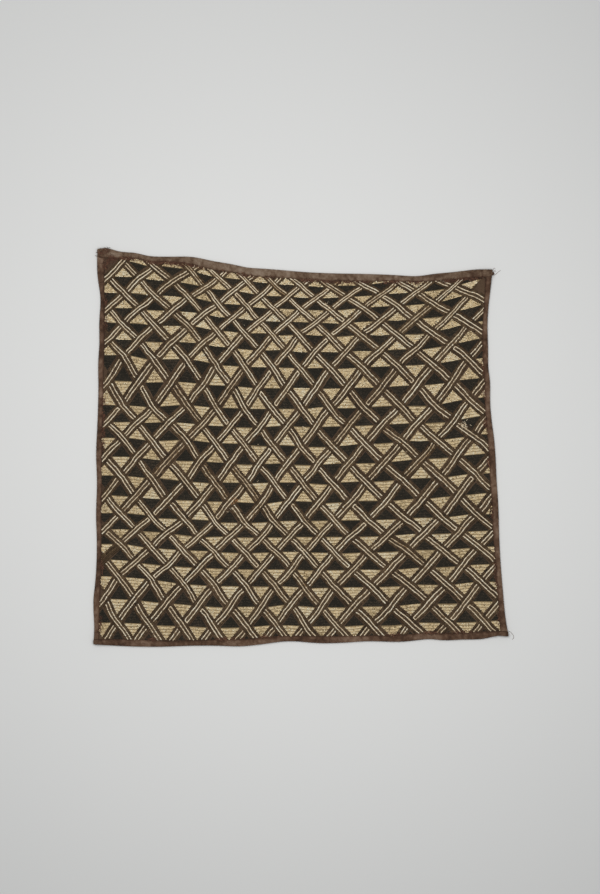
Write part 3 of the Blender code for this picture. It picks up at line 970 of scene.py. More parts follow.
@dataclass
class StitchedBands:
    """The interlaced bands: rows of raffia stitches, two pale among three brown.

    Args:
        plan: the cloth's plan.
        stitch: length of a stitch.
        spacing: distance between the starts of two stitches of a row.
        waver: how far a row strays from straight.
        closed_share: the share of band ends that a pale stitch closes.
        pale_gap: how much sooner the pale rows end, in shares of the bands' spacing.
        yellowed_share: the share of bands whose cream raffia has darkened.
        yellowing: how much darker those stitches are, at least and at most.
        brown_band: where one band was sewn in brown alone.
        brown_reach: how near to that place its crossings lie.
        lean: how far a stitch leans across its row, for each step along it.
        end_reach: half the length of a stitch that closes a band's end, for each step aside.
        over_reach: how far the first rising band runs over a falling one, in half widths.
        stitch_change: how much stitches differ in tone.
        row_change: how much whole rows do.
        waver_size: over what distance a row strays.
        along_stray: how far a stitch strays along its row, in shares of the bands' spacing.
        across_stray: how far it strays across.
    """

    plan: ClothPlan
    stitch: float = 0.0042
    spacing: float = 0.0026
    waver: float = 0.0005
    closed_share: float = 0.10
    pale_gap: float = 0.02
    yellowed_share: float = 0.10
    yellowing: tuple[float, float] = (0.10, 0.26)
    brown_band: tuple[float, float] = (-0.271, -0.152)
    brown_reach: float = 0.016
    lean: float = 0.16
    end_reach: float = 0.35
    over_reach: float = 1.6
    stitch_change: float = 0.13
    row_change: float = 0.07
    waver_size: float = 0.0075
    along_stray: float = 0.006
    across_stray: float = 0.00008

    def crossings(self) -> list[tuple[int, int]]:
        """Finds every crossing in or near the field.

        Returns:
            Their band coordinates.
        """
        plan = self.plan
        low = [int(plan.column_start - plan.row_end), int(plan.column_start + plan.row_start)]
        high = [int(plan.column_end - plan.row_start), int(plan.column_end + plan.row_end)]
        falling, rising = (
            range(first - LATTICE_MARGIN, last + LATTICE_MARGIN + 1) for first, last in zip(low, high)
        )
        return [(f, r) for f in falling for r in rising]

    def build(self) -> list[bpy.types.Object]:
        """Stitches the pale and the brown rows of every band.

        Returns:
            The pale stitches and the brown ones.
        """
        rng = np.random.default_rng(SEED)
        runs = [run for crossing in self.crossings() for run in self.runs_at(crossing, rng)]
        return [self.sew([run for run in runs if run.pale == pale], pale, rng) for pale in (True, False)]

    def runs_at(self, crossing: tuple[int, int], rng: np.random.Generator) -> list[StitchRun]:
        """Stitches the band that lies on top at a crossing, as far as the next ones.

        Args:
            crossing: the crossing's band coordinates.
            rng: the random draws.

        Returns:
            Its runs of stitches.
        """
        pitch, reach = self.plan.band_pitch, 1 - self.plan.half_band
        count = round(2 * reach * pitch / self.spacing)
        steps = (np.arange(count) + 0.5) / count * 2 - 1
        falls = sum(crossing) % 2 == 0
        bend = rng.uniform(-1, 1, 3) @ (np.ones(count), steps, np.cos(steps * 2)) * self.waver
        closed = rng.random(2) < self.closed_share
        brown = not falls and self.is_brown(crossing)
        yellowed = rng.uniform(*self.yellowing) * (rng.random() < self.yellowed_share)
        runs = []
        for row in BAND_ROWS:
            end = reach - self.pale_gap * row.pale
            along = steps * end + rng.normal(0, self.along_stray, count)
            across = (row.offset + bend + rng.normal(0, self.across_stray, count)) / pitch
            shade = row.tone + rng.normal(0, self.row_change) - yellowed * row.pale
            parts = [(falls, along, across)]
            if falls and crossing[1] == 0:
                # the first rising band lies over this one, which starts below it
                half = self.plan.half_band
                shown, over = along > half, np.abs(along) < half * self.over_reach
                parts = [(falls, along[shown], across[shown]), (False, across[over], along[over])]
            if row.pale and row.offset > 0:
                span = np.array((-self.end_reach, self.end_reach)) * abs(row.offset) / pitch
                ends = [way * end for way, is_closed in zip((-1, 1), closed) if is_closed]
                parts += [(not falls, np.full(2, place), span) for place in ends]
            for runs_rising, ahead, aside in parts:
                moved = (aside, ahead) if falls else (ahead, aside)
                falling, rising = (whole + part for whole, part in zip(crossing, moved))
                runs.append(StitchRun(falling, rising, runs_rising, row, row.pale and not brown, shade))
        return runs

    def is_brown(self, crossing: tuple[int, int]) -> bool:
        """Whether a crossing lies on the band that was sewn in brown alone."""
        middle = self.plan.on_surface(*(np.array(float(part)) for part in crossing))[0]
        return bool(np.hypot(*(middle[:2] - self.brown_band)) < self.brown_reach)

    def strayed(self, points: Array) -> Array:
        """Points moved a little aside, as rows stray that are sewn by eye."""
        stray = [smooth_noise(*points[:, :2].T, self.waver_size, seed) for seed in (21, 22)]
        return points + self.waver * np.column_stack((*stray, np.zeros(len(points))))

    def sew(self, runs: list[StitchRun], pale: bool, rng: np.random.Generator) -> bpy.types.Object:
        """Lays one colour's stitches on the ground as one mesh.

        Args:
            runs: the runs of stitches of that colour.
            pale: whether the colour is the cream one.
            rng: the random draws.

        Returns:
            The stitches.
        """
        origins, ahead, sizes, tones = [], [], [], []
        for run in runs:
            step = (0.0, STEP) if run.runs_rising else (STEP, 0.0)
            here, inside = self.plan.on_surface(run.falling, run.rising)
            if inside.sum() < min(3, len(inside)):
                continue
            there, _ = self.plan.on_surface(run.falling + step[0], run.rising + step[1])
            here, there = self.strayed(here), self.strayed(there)
            count = int(inside.sum())
            origins.append(here[inside])
            ahead.append((there - here)[inside])
            sizes.append(np.column_stack((
                self.stitch * rng.uniform(0.9, 1.15, count),
                run.row.width * rng.uniform(0.85, 1.15, count),
                run.row.height * rng.uniform(0.85, 1.2, count),
            )))
            tones.append(np.clip(run.shade + rng.normal(0, self.stitch_change, count), 0, 1))
        origins, ahead, sizes, tones = map(np.concatenate, (origins, ahead, sizes, tones))
        slant = self.lean * ahead[:, [1, 0, 2]] * (-1, 1, 0)
        name = "pale_band_stitches" if pale else "brown_band_stitches"
        sewn = scatter(name, (STITCH_POINTS, STITCH_FACES), origins, ahead + slant, sizes, tones)
        return place_on_root(sewn, PALE_LINE_FINISH if pale else DARK_LINE_FINISH)


@dataclass(frozen=True)
class HalfLozenge:
    """The upper or the lower half of a lozenge between four bands.

    Args:
        column: the lozenge's middle in lattice columns.
        row: its middle in lattice rows.
        upper: whether its upper half is meant.
    """

    column: float
    row: float
    upper: bool

    def corners(self, reach: float) -> Array:
        """Band coordinates of its left, right and outer corner.

        Args:
            reach: their distance from the middle.

        Returns:
            The corners, (3, 2).
        """
        sign = 1 if self.upper else -1
        middle = np.array((self.column - self.row, self.column + self.row))
        return middle + reach * np.array(((-1, -1), (1, 1), (sign, -sign)))

    def colour(self) -> Worked:
        """Its colour, by the cloth's order of pale and black."""
        return Worked.PALE if self.upper == self.pale_above() else Worked.BLACK

    def pale_above(self) -> bool:
        """Tells which half is pale, by the order of the rows and where the hand work slips.

        Returns:
            Whether the lozenge's pale half is its upper one.
        """
        if self.row >= ALL_BLACK_ABOVE:
            return False
        if self.row <= ALL_PALE_ABOVE and self.column <= PALE_ABOVE_COLUMNS:
            return True
        shift = 0.5 if self.row < TURN_SHIFT_ROW else 0.0
        turn = np.floor(self.column + shift) % 2 == 1
        slips = any(row == self.row and low <= self.column <= high for row, low, high in SLIPS)
        return bool(turn != slips)


@dataclass
class CutPile:
    """The lozenges between the bands, each half pale and half black in rows of cut tufts.

    Args:
        plan: the cloth's plan.
        row_gap: distance between rows of tufts.
        tuft_gap: distance between the tufts of a row.
        height: how high the tufts stand.
        lining: how far the pile stays back from the bands.
        bald_share: the share of tufts that have worn away.
        pairing: how far two rows draw together where the pile is ribbed, in shares of their gap.
        rib_narrowing: a ribbed tuft's width, as a share of a plain one's.
        rib_start: the share of the field's height past which the pile is ribbed at its left edge.
        rib_fall: how much further down that lies at its right edge.
        seam: the gap between a lozenge's two halves.
        bed_rise: how high the bed below the tufts is, as a share of their height.
        bed_top: the size of its top, as a share of its foot.
        bed_shade_tone: its tone, dark as painted shade in the gaps between the tufts.
        plain_stray: how far tufts stray from their row, in shares of the rows' gap.
        ribbed_stray: how far ribbed ones do.
        farthest: how near the outer corner tufts may stand, as a share of the way there.
        tone: a tuft's usual tone.
        half_change: how much whole halves differ in tone.
        tuft_change: how much tufts do.
    """

    plan: ClothPlan
    row_gap: float = 0.0021
    tuft_gap: float = 0.0017
    height: float = 0.0011
    lining: float = 0.0009
    bald_share: float = 0.04
    pairing: float = 0.11
    rib_narrowing: float = 0.85
    rib_start: float = 0.22
    rib_fall: float = 0.16
    seam: float = 0.0005
    bed_rise: float = 0.45
    bed_top: float = 0.86
    bed_shade_tone: float = 0.12
    plain_stray: float = 0.12
    ribbed_stray: float = 0.05
    farthest: float = 0.97
    tone: float = 0.54
    half_change: float = 0.07
    tuft_change: float = 0.13

    def lozenges(self) -> list[tuple[float, float]]:
        """Finds the middle of every lozenge in or near the field.

        Returns:
            Their lattice columns and rows.
        """
        low = [int(start) - LATTICE_MARGIN for start in (self.plan.column_start, self.plan.row_start)]
        high = [int(end) + LATTICE_MARGIN + 1 for end in (self.plan.column_end, self.plan.row_end)]
        return [
            (twice_column / 2, twice_row / 2)
            for twice_column in range(2 * low[0], 2 * high[0])
            for twice_row in range(2 * low[1], 2 * high[1])
            if (twice_column + twice_row) % 2
        ]

    def build(self) -> list[bpy.types.Object]:
        """Fills every lozenge's two halves with tufts on a low bed.

        Returns:
            The pile and the bed of each colour.
        """
        rng = np.random.default_rng(SEED + 5)
        tufts = {colour: [] for colour in Worked}
        beds = {colour: [] for colour in Worked}
        reach = 0.5 - self.plan.half_band - self.lining / self.plan.band_pitch
        for column, row in self.lozenges():
            for half in (HalfLozenge(column, row, True), HalfLozenge(column, row, False)):
                corners = half.corners(reach)
                if not self.plan.on_surface(*corners.T)[1].any():
                    continue
                tufts[half.colour()].append(self.tufts(half, corners, rng))
                ring = self.plan.clipped(np.column_stack(self.plan.band_shares(*corners.T)))
                if len(ring) and half.column + half.row > 0:
                    beds[half.colour()].append(self.plan.lift(self.plan.patch(*ring.T)))
        made = []
        for colour, finish in ((Worked.PALE, PALE_PILE_FINISH), (Worked.BLACK, BLACK_PILE_FINISH)):
            origins, sizes, tones = (np.concatenate(part) for part in zip(*tufts[colour]))
            count = len(origins)
            ahead = rng.normal((1, 0, 0), (0.05, 0.25, 0), (count, 3))
            pile = scatter(
                f"{colour.value}_pile", (TUFT_POINTS, TUFT_FACES), origins, ahead, sizes, tones
            )
            bed = self.bed(f"{colour.value}_pile_bed", beds[colour], finish)
            made += [place_on_root(pile, finish), bed]
        return made

    def tufts(
        self, half: HalfLozenge, corners: Array, rng: np.random.Generator
    ) -> tuple[Array, Array, Array]:
        """Lays the tufts of one half of a lozenge, in rows from its middle to its outer corner.

        Args:
            half: the half.
            corners: its left, right and outer corner in band coordinates.
            rng: the random draws.

        Returns:
            The tufts' origins, sizes and tones.
        """
        left, right, outer = corners
        ends = self.plan.on_surface(*corners.T)[0]
        wide = np.linalg.norm(ends[1] - ends[0])
        deep = np.linalg.norm(ends[2] - (ends[0] + ends[1]) / 2)
        seam, rows = self.seam / deep, max(3, round(deep / self.row_gap))
        ribbed = self.ribbed(half)
        spots = []
        for k in range(rows):
            drawn = self.pairing * (-1) ** k if ribbed else 0.0
            t = seam + (k + 0.5 + drawn) / rows * (1 - seam)
            count = max(1, round((1 - t) * wide / self.tuft_gap))
            s = ((np.arange(count) + 0.5) / count - 0.5) * (1 - t)
            stray = rng.normal(0, (self.ribbed_stray if ribbed else self.plain_stray) / rows, count)
            spots.append(np.column_stack((s, np.clip(t + stray, 0, self.farthest))))
        s, t = np.concatenate(spots).T[..., None]
        middle = (left + right) / 2
        places = middle + s * (right - left) + t * (outer - middle)
        origins, shown = self.plan.on_surface(*places.T)
        shown &= rng.random(len(shown)) > self.bald_share
        count = int(shown.sum())
        row_width = self.row_gap * (self.rib_narrowing if ribbed else 1.0)
        sizes = np.column_stack((
            self.tuft_gap * rng.uniform(0.95, 1.6, count),
            row_width * rng.uniform(0.85, 1.15, count),
            self.height * rng.uniform(0.85, 1.12, count),
        ))
        tones = self.tone + rng.normal(0, self.half_change) + rng.normal(0, self.tuft_change, count)
        return origins[shown], sizes, np.clip(tones, 0.02, 1)

    def ribbed(self, half: HalfLozenge) -> bool:
        """Tells whether a lozenge lies where the rows of pile stand apart as ribs.

        Args:
            half: one of its halves.

        Returns:
            Whether its pile is ribbed.
        """
        middle = half.corners(0.0)[0]
        u, v = self.plan.band_shares(middle[:1], middle[1:])
        return bool(v[0] > self.rib_start + self.rib_fall * u[0])

    def bed(self, name: str, rings: list[Array], finish: RaffiaFinish) -> bpy.types.Object:
        """Makes the low wedges that the tufts of one colour stand on.

        Args:
            name: the object's name.
            rings: the corners of each wedge, (n, 3).
            finish: the tufts' finish.

        Returns:
            The wedges, in their finish's darkest tone, as painted shade between the tufts.
        """
        points, faces = [], []
        for ring in rings:
            middle, sides = ring.mean(0), len(ring)
            top = middle + (ring - middle) * self.bed_top + (0, 0, self.bed_rise * self.height)
            start = len(points)
            points += [*ring, *top]
            for k in range(sides):
                after = (k + 1) % sides
                faces.append((start + k, start + after, start + sides + after))
                faces.append((start + k, start + sides + after, start + sides + k))
            for k in range(1, sides - 1):
                faces.append((start + sides, start + sides + k, start + sides + k + 1))
                faces.append((start, start + k + 1, start + k))
        # The bed's dark tone is painted shade, which shows in the gaps between the tufts and their rows
        made = mesh_object(name, np.array(points), np.array(faces), np.full(len(points), self.bed_shade_tone))
        activate(made)
        bpy.ops.object.mode_set(mode="EDIT")
        bpy.ops.mesh.select_all(action="SELECT")
        bpy.ops.mesh.normals_make_consistent(inside=False)
        bpy.ops.object.mode_set(mode="OBJECT")
        made.data.shade_flat()
        return place_on_root(made, finish)


@dataclass(frozen=True)
class StrayThread:
    """One thread that has come loose, along a few places seen on the cloth.

    Args:
        places: its course, (x, y) in metres.
        radius: half its thickness.
    """

    places: tuple[tuple[float, float], ...]
    radius: float

    def course(self, steps: int = 14) -> Array:
        """Draws a smooth course through the places.

        Args:
            steps: how many points it has.

        Returns:
            Its points, (steps, 2).
        """
        points = np.array(self.places)
        knots = np.arange(len(points))
        at = np.linspace(0, len(points) - 1, steps)
        line = np.column_stack([np.interp(at, knots, points[:, k]) for k in (0, 1)])
        line[1:-1] = (line[:-2] + 2 * line[1:-1] + line[2:]) / 4
        return line


LOOSE_ENDS = (
    StrayThread(((0.2740, 0.2440), (0.2766, 0.2455), (0.2799, 0.2488), (0.2841, 0.2518)), 0.00022),
    StrayThread(((0.2725, 0.2470), (0.2733, 0.2535), (0.2752, 0.2548), (0.2760, 0.2528)), 0.00018),
    StrayThread(((0.2735, 0.2480), (0.2748, 0.2510), (0.2765, 0.2508), (0.2772, 0.2490)), 0.00018),
    StrayThread(
        (
            (0.2935, -0.2600), (0.2958, -0.2613), (0.2975, -0.2616), (0.3000, -0.2647),
            (0.3025, -0.2674), (0.3024, -0.2711), (0.2996, -0.2731),
        ),
        0.00022,
    ),
)


@dataclass(frozen=True)
class HemStitch:
    """The stitches that hold a strip's inner edge down.

    Args:
        margin: how far from the strip's ends they begin.
        setback: how far from its inner edge their middles lie, on the strip.
        gap: the least and the greatest distance between two of them.
        lean: how far they may lean along the edge, for each step across it.
        length: of the shortest and of the longest.
        width: of the narrowest and of the widest.
        height: how high they stand.
        sunk: how deep their feet sit in the cloth.
    """

    margin: float = 0.014
    setback: float = 0.0004
    gap: tuple[float, float] = (0.005, 0.011)
    lean: float = 0.6
    length: tuple[float, float] = (0.0018, 0.0034)
    width: tuple[float, float] = (0.0006, 0.0010)
    height: float = 0.0006
    sunk: float = 0.0001


@dataclass(frozen=True)
class Fray:
    """How a strip's inner edge frays, in clumps of short fibres.

    Args:
        clumps: clumps on the top strip; each other strip has a quarter as many.
        fibres: fibres of a clump.
        margin: how far from the strip's ends the clumps begin.
        spread: how far a clump reaches along the edge, at least and at most.
        reach: how far its middle lies past the edge, at least and at most.
        stray: how far its fibres lie from that.
        turn: how far they turn away from the edge, in radians.
        length: of the shortest and of the longest fibre.
        points: how many a fibre's course has.
        kink: how far each of them strays.
        lift: how far fibres lie above what is under them, at least and at most.
        radius: half the thickness of the thinnest and of the thickest.
    """

    clumps: int = 34
    fibres: int = 30
    margin: float = 0.025
    spread: tuple[float, float] = (0.003, 0.009)
    reach: tuple[float, float] = (0.0002, 0.0014)
    stray: float = 0.0011
    turn: float = 0.6
    length: tuple[float, float] = (0.003, 0.008)
    points: int = 5
    kink: float = 0.0003
    lift: tuple[float, float] = (0.0002, 0.0011)
    radius: tuple[float, float] = (0.00018, 0.00042)


@dataclass(frozen=True)
class CornerTufts:
    """Dark tufts on the thick top left corner and the bare ground inside it.

    Args:
        places: their middles, (x, y) in metres.
        fibres: fibres of a tuft.
        spread: how far they lie round its middle.
        length: of a fibre.
        lift: how far fibres lie above what is under them.
        radius: half a fibre's thickness.
    """

    places: tuple[tuple[float, float], ...] = (
        (-0.2845, 0.2760), (-0.2765, 0.2790), (-0.2700, 0.2700),
        (-0.2745, 0.2635), (-0.2775, 0.2560), (-0.2665, 0.2665),
    )
    fibres: int = 38
    spread: float = 0.0017
    length: float = 0.0042
    lift: float = 0.0003
    radius: float = 0.00026


@dataclass(frozen=True)
class WornSpot:
    """A spot where fibres stand out of the embroidery.

    Args:
        place: its middle, (x, y) in metres.
        spread: how far its fibres lie round it.
        fibres: how many there are.
        orange: whether they are orange and not pale.
    """

    place: tuple[float, float]
    spread: float
    fibres: int
    orange: bool = False


WORN_SPOTS = (
    WornSpot((0.232, 0.031), 0.0027, 34),
    WornSpot((-0.101, -0.087), 0.0018, 4),
    WornSpot((-0.094, -0.075), 0.0018, 22, True),
    WornSpot((0.002, -0.147), 0.0030, 8),
    WornSpot((0.035, 0.204), 0.0025, 8),
    WornSpot((-0.155, -0.112), 0.0020, 3),
    WornSpot((-0.168, 0.168), 0.0015, 5),
)


@dataclass(frozen=True)
class LooseFibres:
    """The fibres that stand out of the embroidery.

    Args:
        spots: where they stand in tufts.
        singles: how many pale ones stand alone.
        reach: the least and the greatest x and y of those.
        length: of the shortest and of the longest.
        lift: how far they lie above what is under them.
        arch: how high they may arch over that.
        radius: half the thickness of the thinnest and of the thickest.
    """

    spots: tuple[WornSpot, ...] = WORN_SPOTS
    singles: int = 46
    reach: tuple[float, float] = (-0.245, 0.225)
    length: tuple[float, float] = (0.002, 0.0055)
    lift: float = 0.00016
    arch: float = 0.0007
    radius: tuple[float, float] = (0.00020, 0.00040)


@dataclass
class Sewing:
    """The threads on the cloth: hems sewn down, frayed edges and ends that have come loose.

    Args:
        plan: the cloth's plan.
        hem: the stitches of the hems.
        fray: the frayed edges.
        tufts: the dark tufts at the top left corner.
        loose: the fibres that stand out of the embroidery.
        end_lift: how far loose ends of sewing thread lie above what is under them.
        drop_from: a height above all the pieces, from where threads are laid down.
        most_faces: a piece with more faces isn't read as something that threads lie on.
        rng: the random draws.
        trees: the faces that threads lie on.
    """

    plan: ClothPlan
    hem: HemStitch = HemStitch()
    fray: Fray = Fray()
    tufts: CornerTufts = CornerTufts()
    loose: LooseFibres = LooseFibres()
    end_lift: float = 0.0003
    drop_from: float = 0.05
    most_faces: int = 60000
    rng: np.random.Generator = field(init=False)
    trees: list[BVHTree] = field(init=False)

    def __post_init__(self) -> None:
        """Starts the random draws and reads the faces that threads lie on."""
        self.rng = np.random.default_rng(SEED + 9)
        graph = bpy.context.evaluated_depsgraph_get()
        carriers = [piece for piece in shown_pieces() if len(piece.data.polygons) < self.most_faces]
        self.trees = [BVHTree.FromObject(piece, graph) for piece in carriers]

    def resting(self, course: Array, lift: float) -> Array:
        """Lays a flat course on whatever is highest below it, or on the surface the cloth lies on.

        Args:
            course: its points, (n, 2).
            lift: how far it lies above that.

        Returns:
            The points, (n, 3).
        """
        heights = []
        for x, y in course:
            hits = [tree.ray_cast((x, y, self.drop_from), (0, 0, -1))[0] for tree in self.trees]
            heights.append(max([hit.z for hit in hits if hit is not None], default=0.0))
        return np.column_stack((course, np.array(heights) + lift))

    def seams(self) -> bpy.types.Object:
        """Lays short stitches over the inner edge of every strip, at uneven distances.

        Returns:
            The stitches.
        """
        rng, plan, hem = self.rng, self.plan, self.hem
        origins, ahead = [], []
        for edge, axis, way in (
            (plan.left, 1, 1), (plan.right, 1, -1), (plan.top, 0, -1), (plan.bottom, 0, 1),
        ):
            place = edge.along[0] + hem.margin
            while place < edge.along[-1] - hem.margin:
                inner = float(edge.inner_at(place)) - way * hem.setback
                spot, slant = [0.0, 0.0], [0.0, 0.0]
                spot[axis], spot[1 - axis] = place, inner
                slant[axis], slant[1 - axis] = rng.uniform(-hem.lean, hem.lean), 1.0
                origins.append(spot)
                ahead.append((*slant, 0.0))
                place += rng.uniform(*hem.gap)
        origins = self.resting(np.array(origins), -hem.sunk)
        count = len(origins)
        sizes = np.column_stack((
            rng.uniform(*hem.length, count), rng.uniform(*hem.width, count), np.full(count, hem.height)
        ))
        tones, ahead = np.clip(rng.normal(0.45, 0.2, count), 0, 1), np.array(ahead)
        seams = scatter("hem_stitches", (STITCH_POINTS, STITCH_FACES), origins, ahead, sizes, tones)
        return place_on_root(seams, THREAD_FINISH)

    def curled(self, place: Array, length: float, points: int = 6) -> Array:
        """Draws a short curled course that starts at a place.

        Args:
            place: where it starts, (x, y).
            length: how long it is.
            points: how many points it has.

        Returns:
            Its points, (points, 2).
        """
        heading, curl = self.rng.uniform(0, 2 * np.pi), self.rng.normal(0, 0.7)
        angles = heading + curl * np.linspace(0, 1, points)
        steps = np.column_stack((np.cos(angles), np.sin(angles)))
        return place + np.cumsum(steps, 0) * length / points

    def fraying(self) -> bpy.types.Object:
        """Lays clumps of red-brown fibres along the top strip's inner edge, and a few on the others.

        Returns:
            The fibres.
        """
        rng, plan, fray = self.rng, self.plan, self.fray
        few = fray.clumps // 4
        yarns = []
        for edge, axis, way, count in (
            (plan.top, 0, -1, fray.clumps), (plan.left, 1, 1, few),
            (plan.right, 1, -1, few), (plan.bottom, 0, 1, few),
        ):
            ends = edge.along[0] + fray.margin, edge.along[-1] - fray.margin
            for middle in rng.uniform(*ends, count):
                spread, reach = rng.uniform(*fray.spread), rng.uniform(*fray.reach)
                for _ in range(fray.fibres):
                    heading = rng.normal(0, fray.turn)
                    steps = np.linspace(-0.5, 0.5, fray.points) * rng.uniform(*fray.length)
                    along = middle + rng.normal(0, spread) + steps * np.cos(heading)
                    out = reach + rng.normal(0, fray.stray) + steps * np.sin(heading)
                    out += rng.normal(0, fray.kink, fray.points)
                    inner = edge.inner_at(along) + way * out
                    course = np.column_stack((along, inner) if axis == 0 else (inner, along))
                    path = self.resting(course, rng.uniform(*fray.lift))
                    yarns.append((path, rng.uniform(*fray.radius)))
        return self.threads("frayed_edge", yarns, THREAD_FINISH, 0.24)

    def corner_wad(self) -> bpy.types.Object:
        """Lays the dark fibres that stand out of the thick top left corner.

        Returns:
            The fibres.
        """
        tufts, yarns = self.tufts, []
        for place in tufts.places:
            for _ in range(tufts.fibres):
                start = np.array(place) + self.rng.normal(0, tufts.spread, 2)
                yarns.append((self.resting(self.curled(start, tufts.length), tufts.lift), tufts.radius))
        return self.threads("corner_wad", yarns, THREAD_FINISH, 0.2)

    def worn_spots(self) -> list[bpy.types.Object]:
        """Lays pale and orange fibres that stand out of the embroidery, in tufts and singly.

        Returns:
            The pale fibres and the orange ones.
        """
        rng, loose = self.rng, self.loose
        starts = [
            (spot.orange, rng.normal(spot.place, spot.spread))
            for spot in loose.spots for _ in range(spot.fibres)
        ]
        starts += [(False, rng.uniform(*loose.reach, 2)) for _ in range(loose.singles)]
        yarns = {True: [], False: []}
        for orange, place in starts:
            path = self.resting(self.curled(place, rng.uniform(*loose.length)), loose.lift)
            path[:, 2] += loose.arch * np.sin(np.linspace(0, np.pi, len(path))) * rng.random()
            yarns[orange].append((path, rng.uniform(*loose.radius)))
        return [
            self.threads("loose_raffia", yarns[False], PALE_LINE_FINISH, 0.15),
            self.threads("worn_raffia", yarns[True], ORANGE_FINISH, 0.15),
        ]

    def loose_ends(self) -> bpy.types.Object:
        """Lays the ends of sewing thread that reach past the two right corners.

        Returns:
            The threads.
        """
        yarns = []
        for end in LOOSE_ENDS:
            path = self.resting(end.course(), self.end_lift)
            path[1:-1, 2] = (path[:-2, 2] + path[1:-1, 2] + path[2:, 2]) / 3
            yarns.append((path, end.radius))
        return self.threads("loose_sewing_ends", yarns, THREAD_FINISH, 0.1)

    def threads(
        self, name: str, yarns: list[tuple[Array, float]], finish: RaffiaFinish, variety: float
    ) -> bpy.types.Object:
        """Joins threads as one piece, each with a tone of its own.

        Args:
            name: the object's name.
            yarns: each thread's path and half thickness.
            finish: their finish.
            variety: how much their tones differ.

        Returns:
            The threads.
        """
        points, faces = yarn_mesh(yarns)
        tones = [
            np.full(len(path) * YARN_SIDES, self.rng.normal(MID_TONE, variety)) for path, _ in yarns
        ]
        made = mesh_object(name, points, faces, np.clip(np.concatenate(tones), 0, 1))
        return place_on_root(made, finish)


@dataclass(frozen=True)
class CornerKnob:
    """The dark knot of yarn beside the top right corner, on the surface that the cloth lies on.

    Args:
        place: its middle, (x, y) in metres.
        size: half its width.
        flatness: its height as a share of its width.
        lumps: how far its lumps stand out, as a share of its size.
        clearance: how far it is above the surface.
        tone: its usual tone.
    """

    place: tuple[float, float] = (0.2725, 0.2465)
    size: float = 0.0021
    flatness: float = 0.75
    lumps: float = 0.22
    clearance: float = 0.0002
    tone: float = 0.32

    def build(self) -> bpy.types.Object:
        """Models the knot from a ball, with lumps.

        Returns:
            The knot.
        """
        bpy.ops.object.select_all(action="DESELECT")
        bpy.ops.mesh.primitive_ico_sphere_add(subdivisions=4, radius=1, location=(0, 0, 0))
        knob = bpy.context.active_object
        knob.name = knob.data.name = "corner_knob"
        points = point_array(knob)
        x, y, z = points.T
        lumpy = points * (1 + self.lumps * smooth_noise(x + z, y, 0.4, 12))[:, None]
        shaped = lumpy * (self.size, self.size, self.size * self.flatness) + (*self.place, 0)
        shaped[:, 2] -= shaped[:, 2].min() - self.clearance
        knob.data.vertices.foreach_set("co", shaped.ravel())
        set_tones(knob, self.tone + 0.2 * smooth_noise(x, y + z, 0.25, 13))
        knob.data.shade_smooth()
        return place_on_root(knob, THREAD_FINISH)


@dataclass(frozen=True)
class SoftLamp:
    """A square soft lamp that points at the cloth.

    Args:
        name: its name.
        place: where it hangs.
        size: the length of its sides.
        power: in watts.
    """

    name: str
    place: tuple[float, float, float]
    size: float
    power: float

    def hang(self) -> None:
        """Adds the lamp to the scene, unseen by the camera."""
        data = bpy.data.lights.new(self.name, "AREA")
        data.size, data.energy = self.size, self.power
        lamp = bpy.data.objects.new(self.name, data)
        lamp.location = self.place
        lamp.visible_camera = False
        lamp.rotation_euler = Vector(self.place).to_track_quat("Z", "Y").to_euler()
        bpy.context.scene.collection.objects.link(lamp)


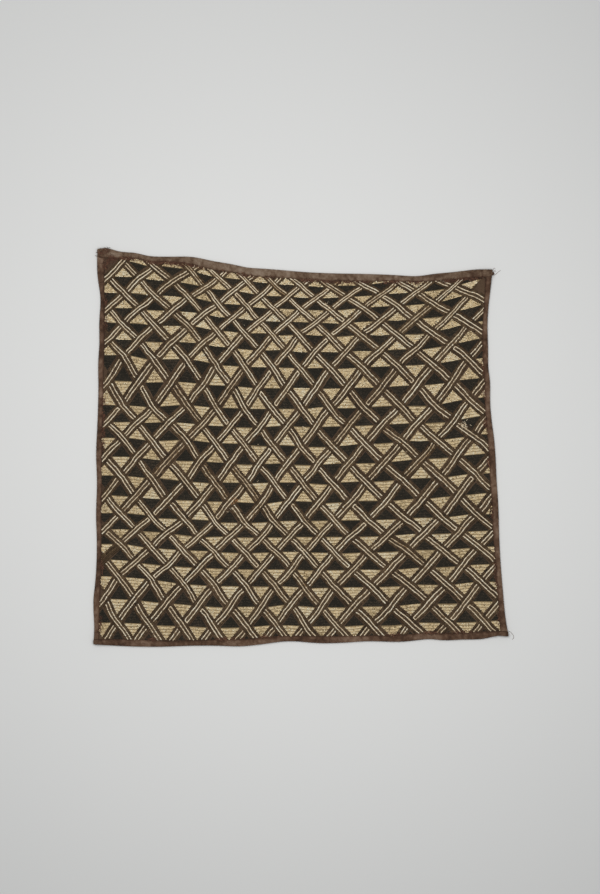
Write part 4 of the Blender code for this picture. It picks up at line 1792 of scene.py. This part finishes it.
@dataclass(frozen=True)
class Studio:
    """The pale floor, the soft light and the camera above the cloth.

    Args:
        picture: the picture's width and height in pixels.
        metres_per_pixel: the picture's scale on the floor.
        cloth_pixel: where the middle of the cloth's box stands in the picture.
        lens: focal length in millimetres.
        sensor: the camera's larger side in millimetres.
        floor_size: the length of the floor's sides.
        floor_drop: how far it is below the cloth's underside.
        floor_colour: linear.
        floor_roughness: of its shader.
        room_colour: colour of the light from all round, linear.
        room_light: its strength.
        lamps: the lamps, in order.
    """

    picture: tuple[int, int] = (600, 894)
    metres_per_pixel: float = 0.00142
    cloth_pixel: tuple[float, float] = (300.8, 447.4)
    lens: float = 85.0
    sensor: float = 36.0
    floor_size: float = 12.0
    floor_drop: float = 0.0002
    floor_colour: tuple[float, float, float] = (0.80, 0.80, 0.785)
    floor_roughness: float = 0.9
    room_colour: tuple[float, float, float] = (0.97, 0.985, 1.0)
    room_light: float = 0.32
    lamps: tuple[SoftLamp, ...] = (
        SoftLamp("key", (-0.9, 1.1, 2.2), 1.2, 10.8),
        SoftLamp("ceiling", (0.0, 0.02, 1.15), 0.7, 7.0),
    )

    def build(self) -> None:
        """Sets the stage."""
        bpy.context.scene.view_settings.view_transform = "Standard"
        self.place_camera()
        self.lay_floor()
        self.light_room()
        for lamp in self.lamps:
            lamp.hang()

    def place_camera(self) -> None:
        """Hangs the camera straight above the floor, beside the cloth's middle."""
        scene = bpy.context.scene
        tall = self.picture[1] * self.metres_per_pixel
        data = bpy.data.cameras.new("camera")
        data.lens = self.lens
        camera = bpy.data.objects.new("camera", data)
        off = [(c - p / 2) * self.metres_per_pixel for c, p in zip(self.cloth_pixel, self.picture)]
        camera.location = (-off[0], off[1], tall * self.lens / self.sensor)
        scene.collection.objects.link(camera)
        scene.camera = camera

    def lay_floor(self) -> None:
        """Lays the pale surface just below the cloth."""
        bpy.ops.object.select_all(action="DESELECT")
        bpy.ops.mesh.primitive_plane_add(size=self.floor_size, location=(0, 0, -self.floor_drop))
        floor = bpy.context.active_object
        floor.name = "floor"
        paint = bpy.data.materials.new("pale_floor")
        paint.use_nodes = True
        shader = paint.node_tree.nodes["Principled BSDF"]
        shader.inputs["Base Color"].default_value = (*self.floor_colour, 1)
        shader.inputs["Roughness"].default_value = self.floor_roughness
        floor.data.materials.append(paint)
        floor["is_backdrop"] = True

    def light_room(self) -> None:
        """Gives the room its even light."""
        world = bpy.data.worlds.new("soft_room")
        world.use_nodes = True
        background = world.node_tree.nodes["Background"]
        background.inputs["Color"].default_value = (*self.room_colour, 1)
        background.inputs["Strength"].default_value = self.room_light
        bpy.context.scene.world = world


def main() -> None:
    """Builds the cloth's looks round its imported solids, in the order a maker works."""
    logging.basicConfig(level=logging.INFO, format="%(message)s")
    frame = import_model()
    fibre_group()
    weave_group()
    plan = ClothPlan(frame["nodes"])
    WovenGround(plan).build()
    StitchedBands(plan).build()
    CutPile(plan).build()
    for strip, edge in (
        (BindingStrip("binding_left", 1, 0.020, 0.0005, 31), plan.left),
        (BindingStrip("binding_right", 1, 0.026, 0.0005, 32), plan.right),
        (BindingStrip("binding_top", 0, 0.018, 0.0006, 33, LIT_TOP_STRIP_FINISH), plan.top),
        (BindingStrip("binding_bottom", 0, 0.024, 0.0006, 34), plan.bottom),
    ):
        strip.build(frame["nodes"][strip.node], edge)
    sewing = Sewing(plan)
    sewing.seams()
    sewing.fraying()
    sewing.corner_wad()
    sewing.worn_spots()
    sewing.loose_ends()
    CornerKnob().build()
    Studio().build()


if __name__ == "__main__":
    main()
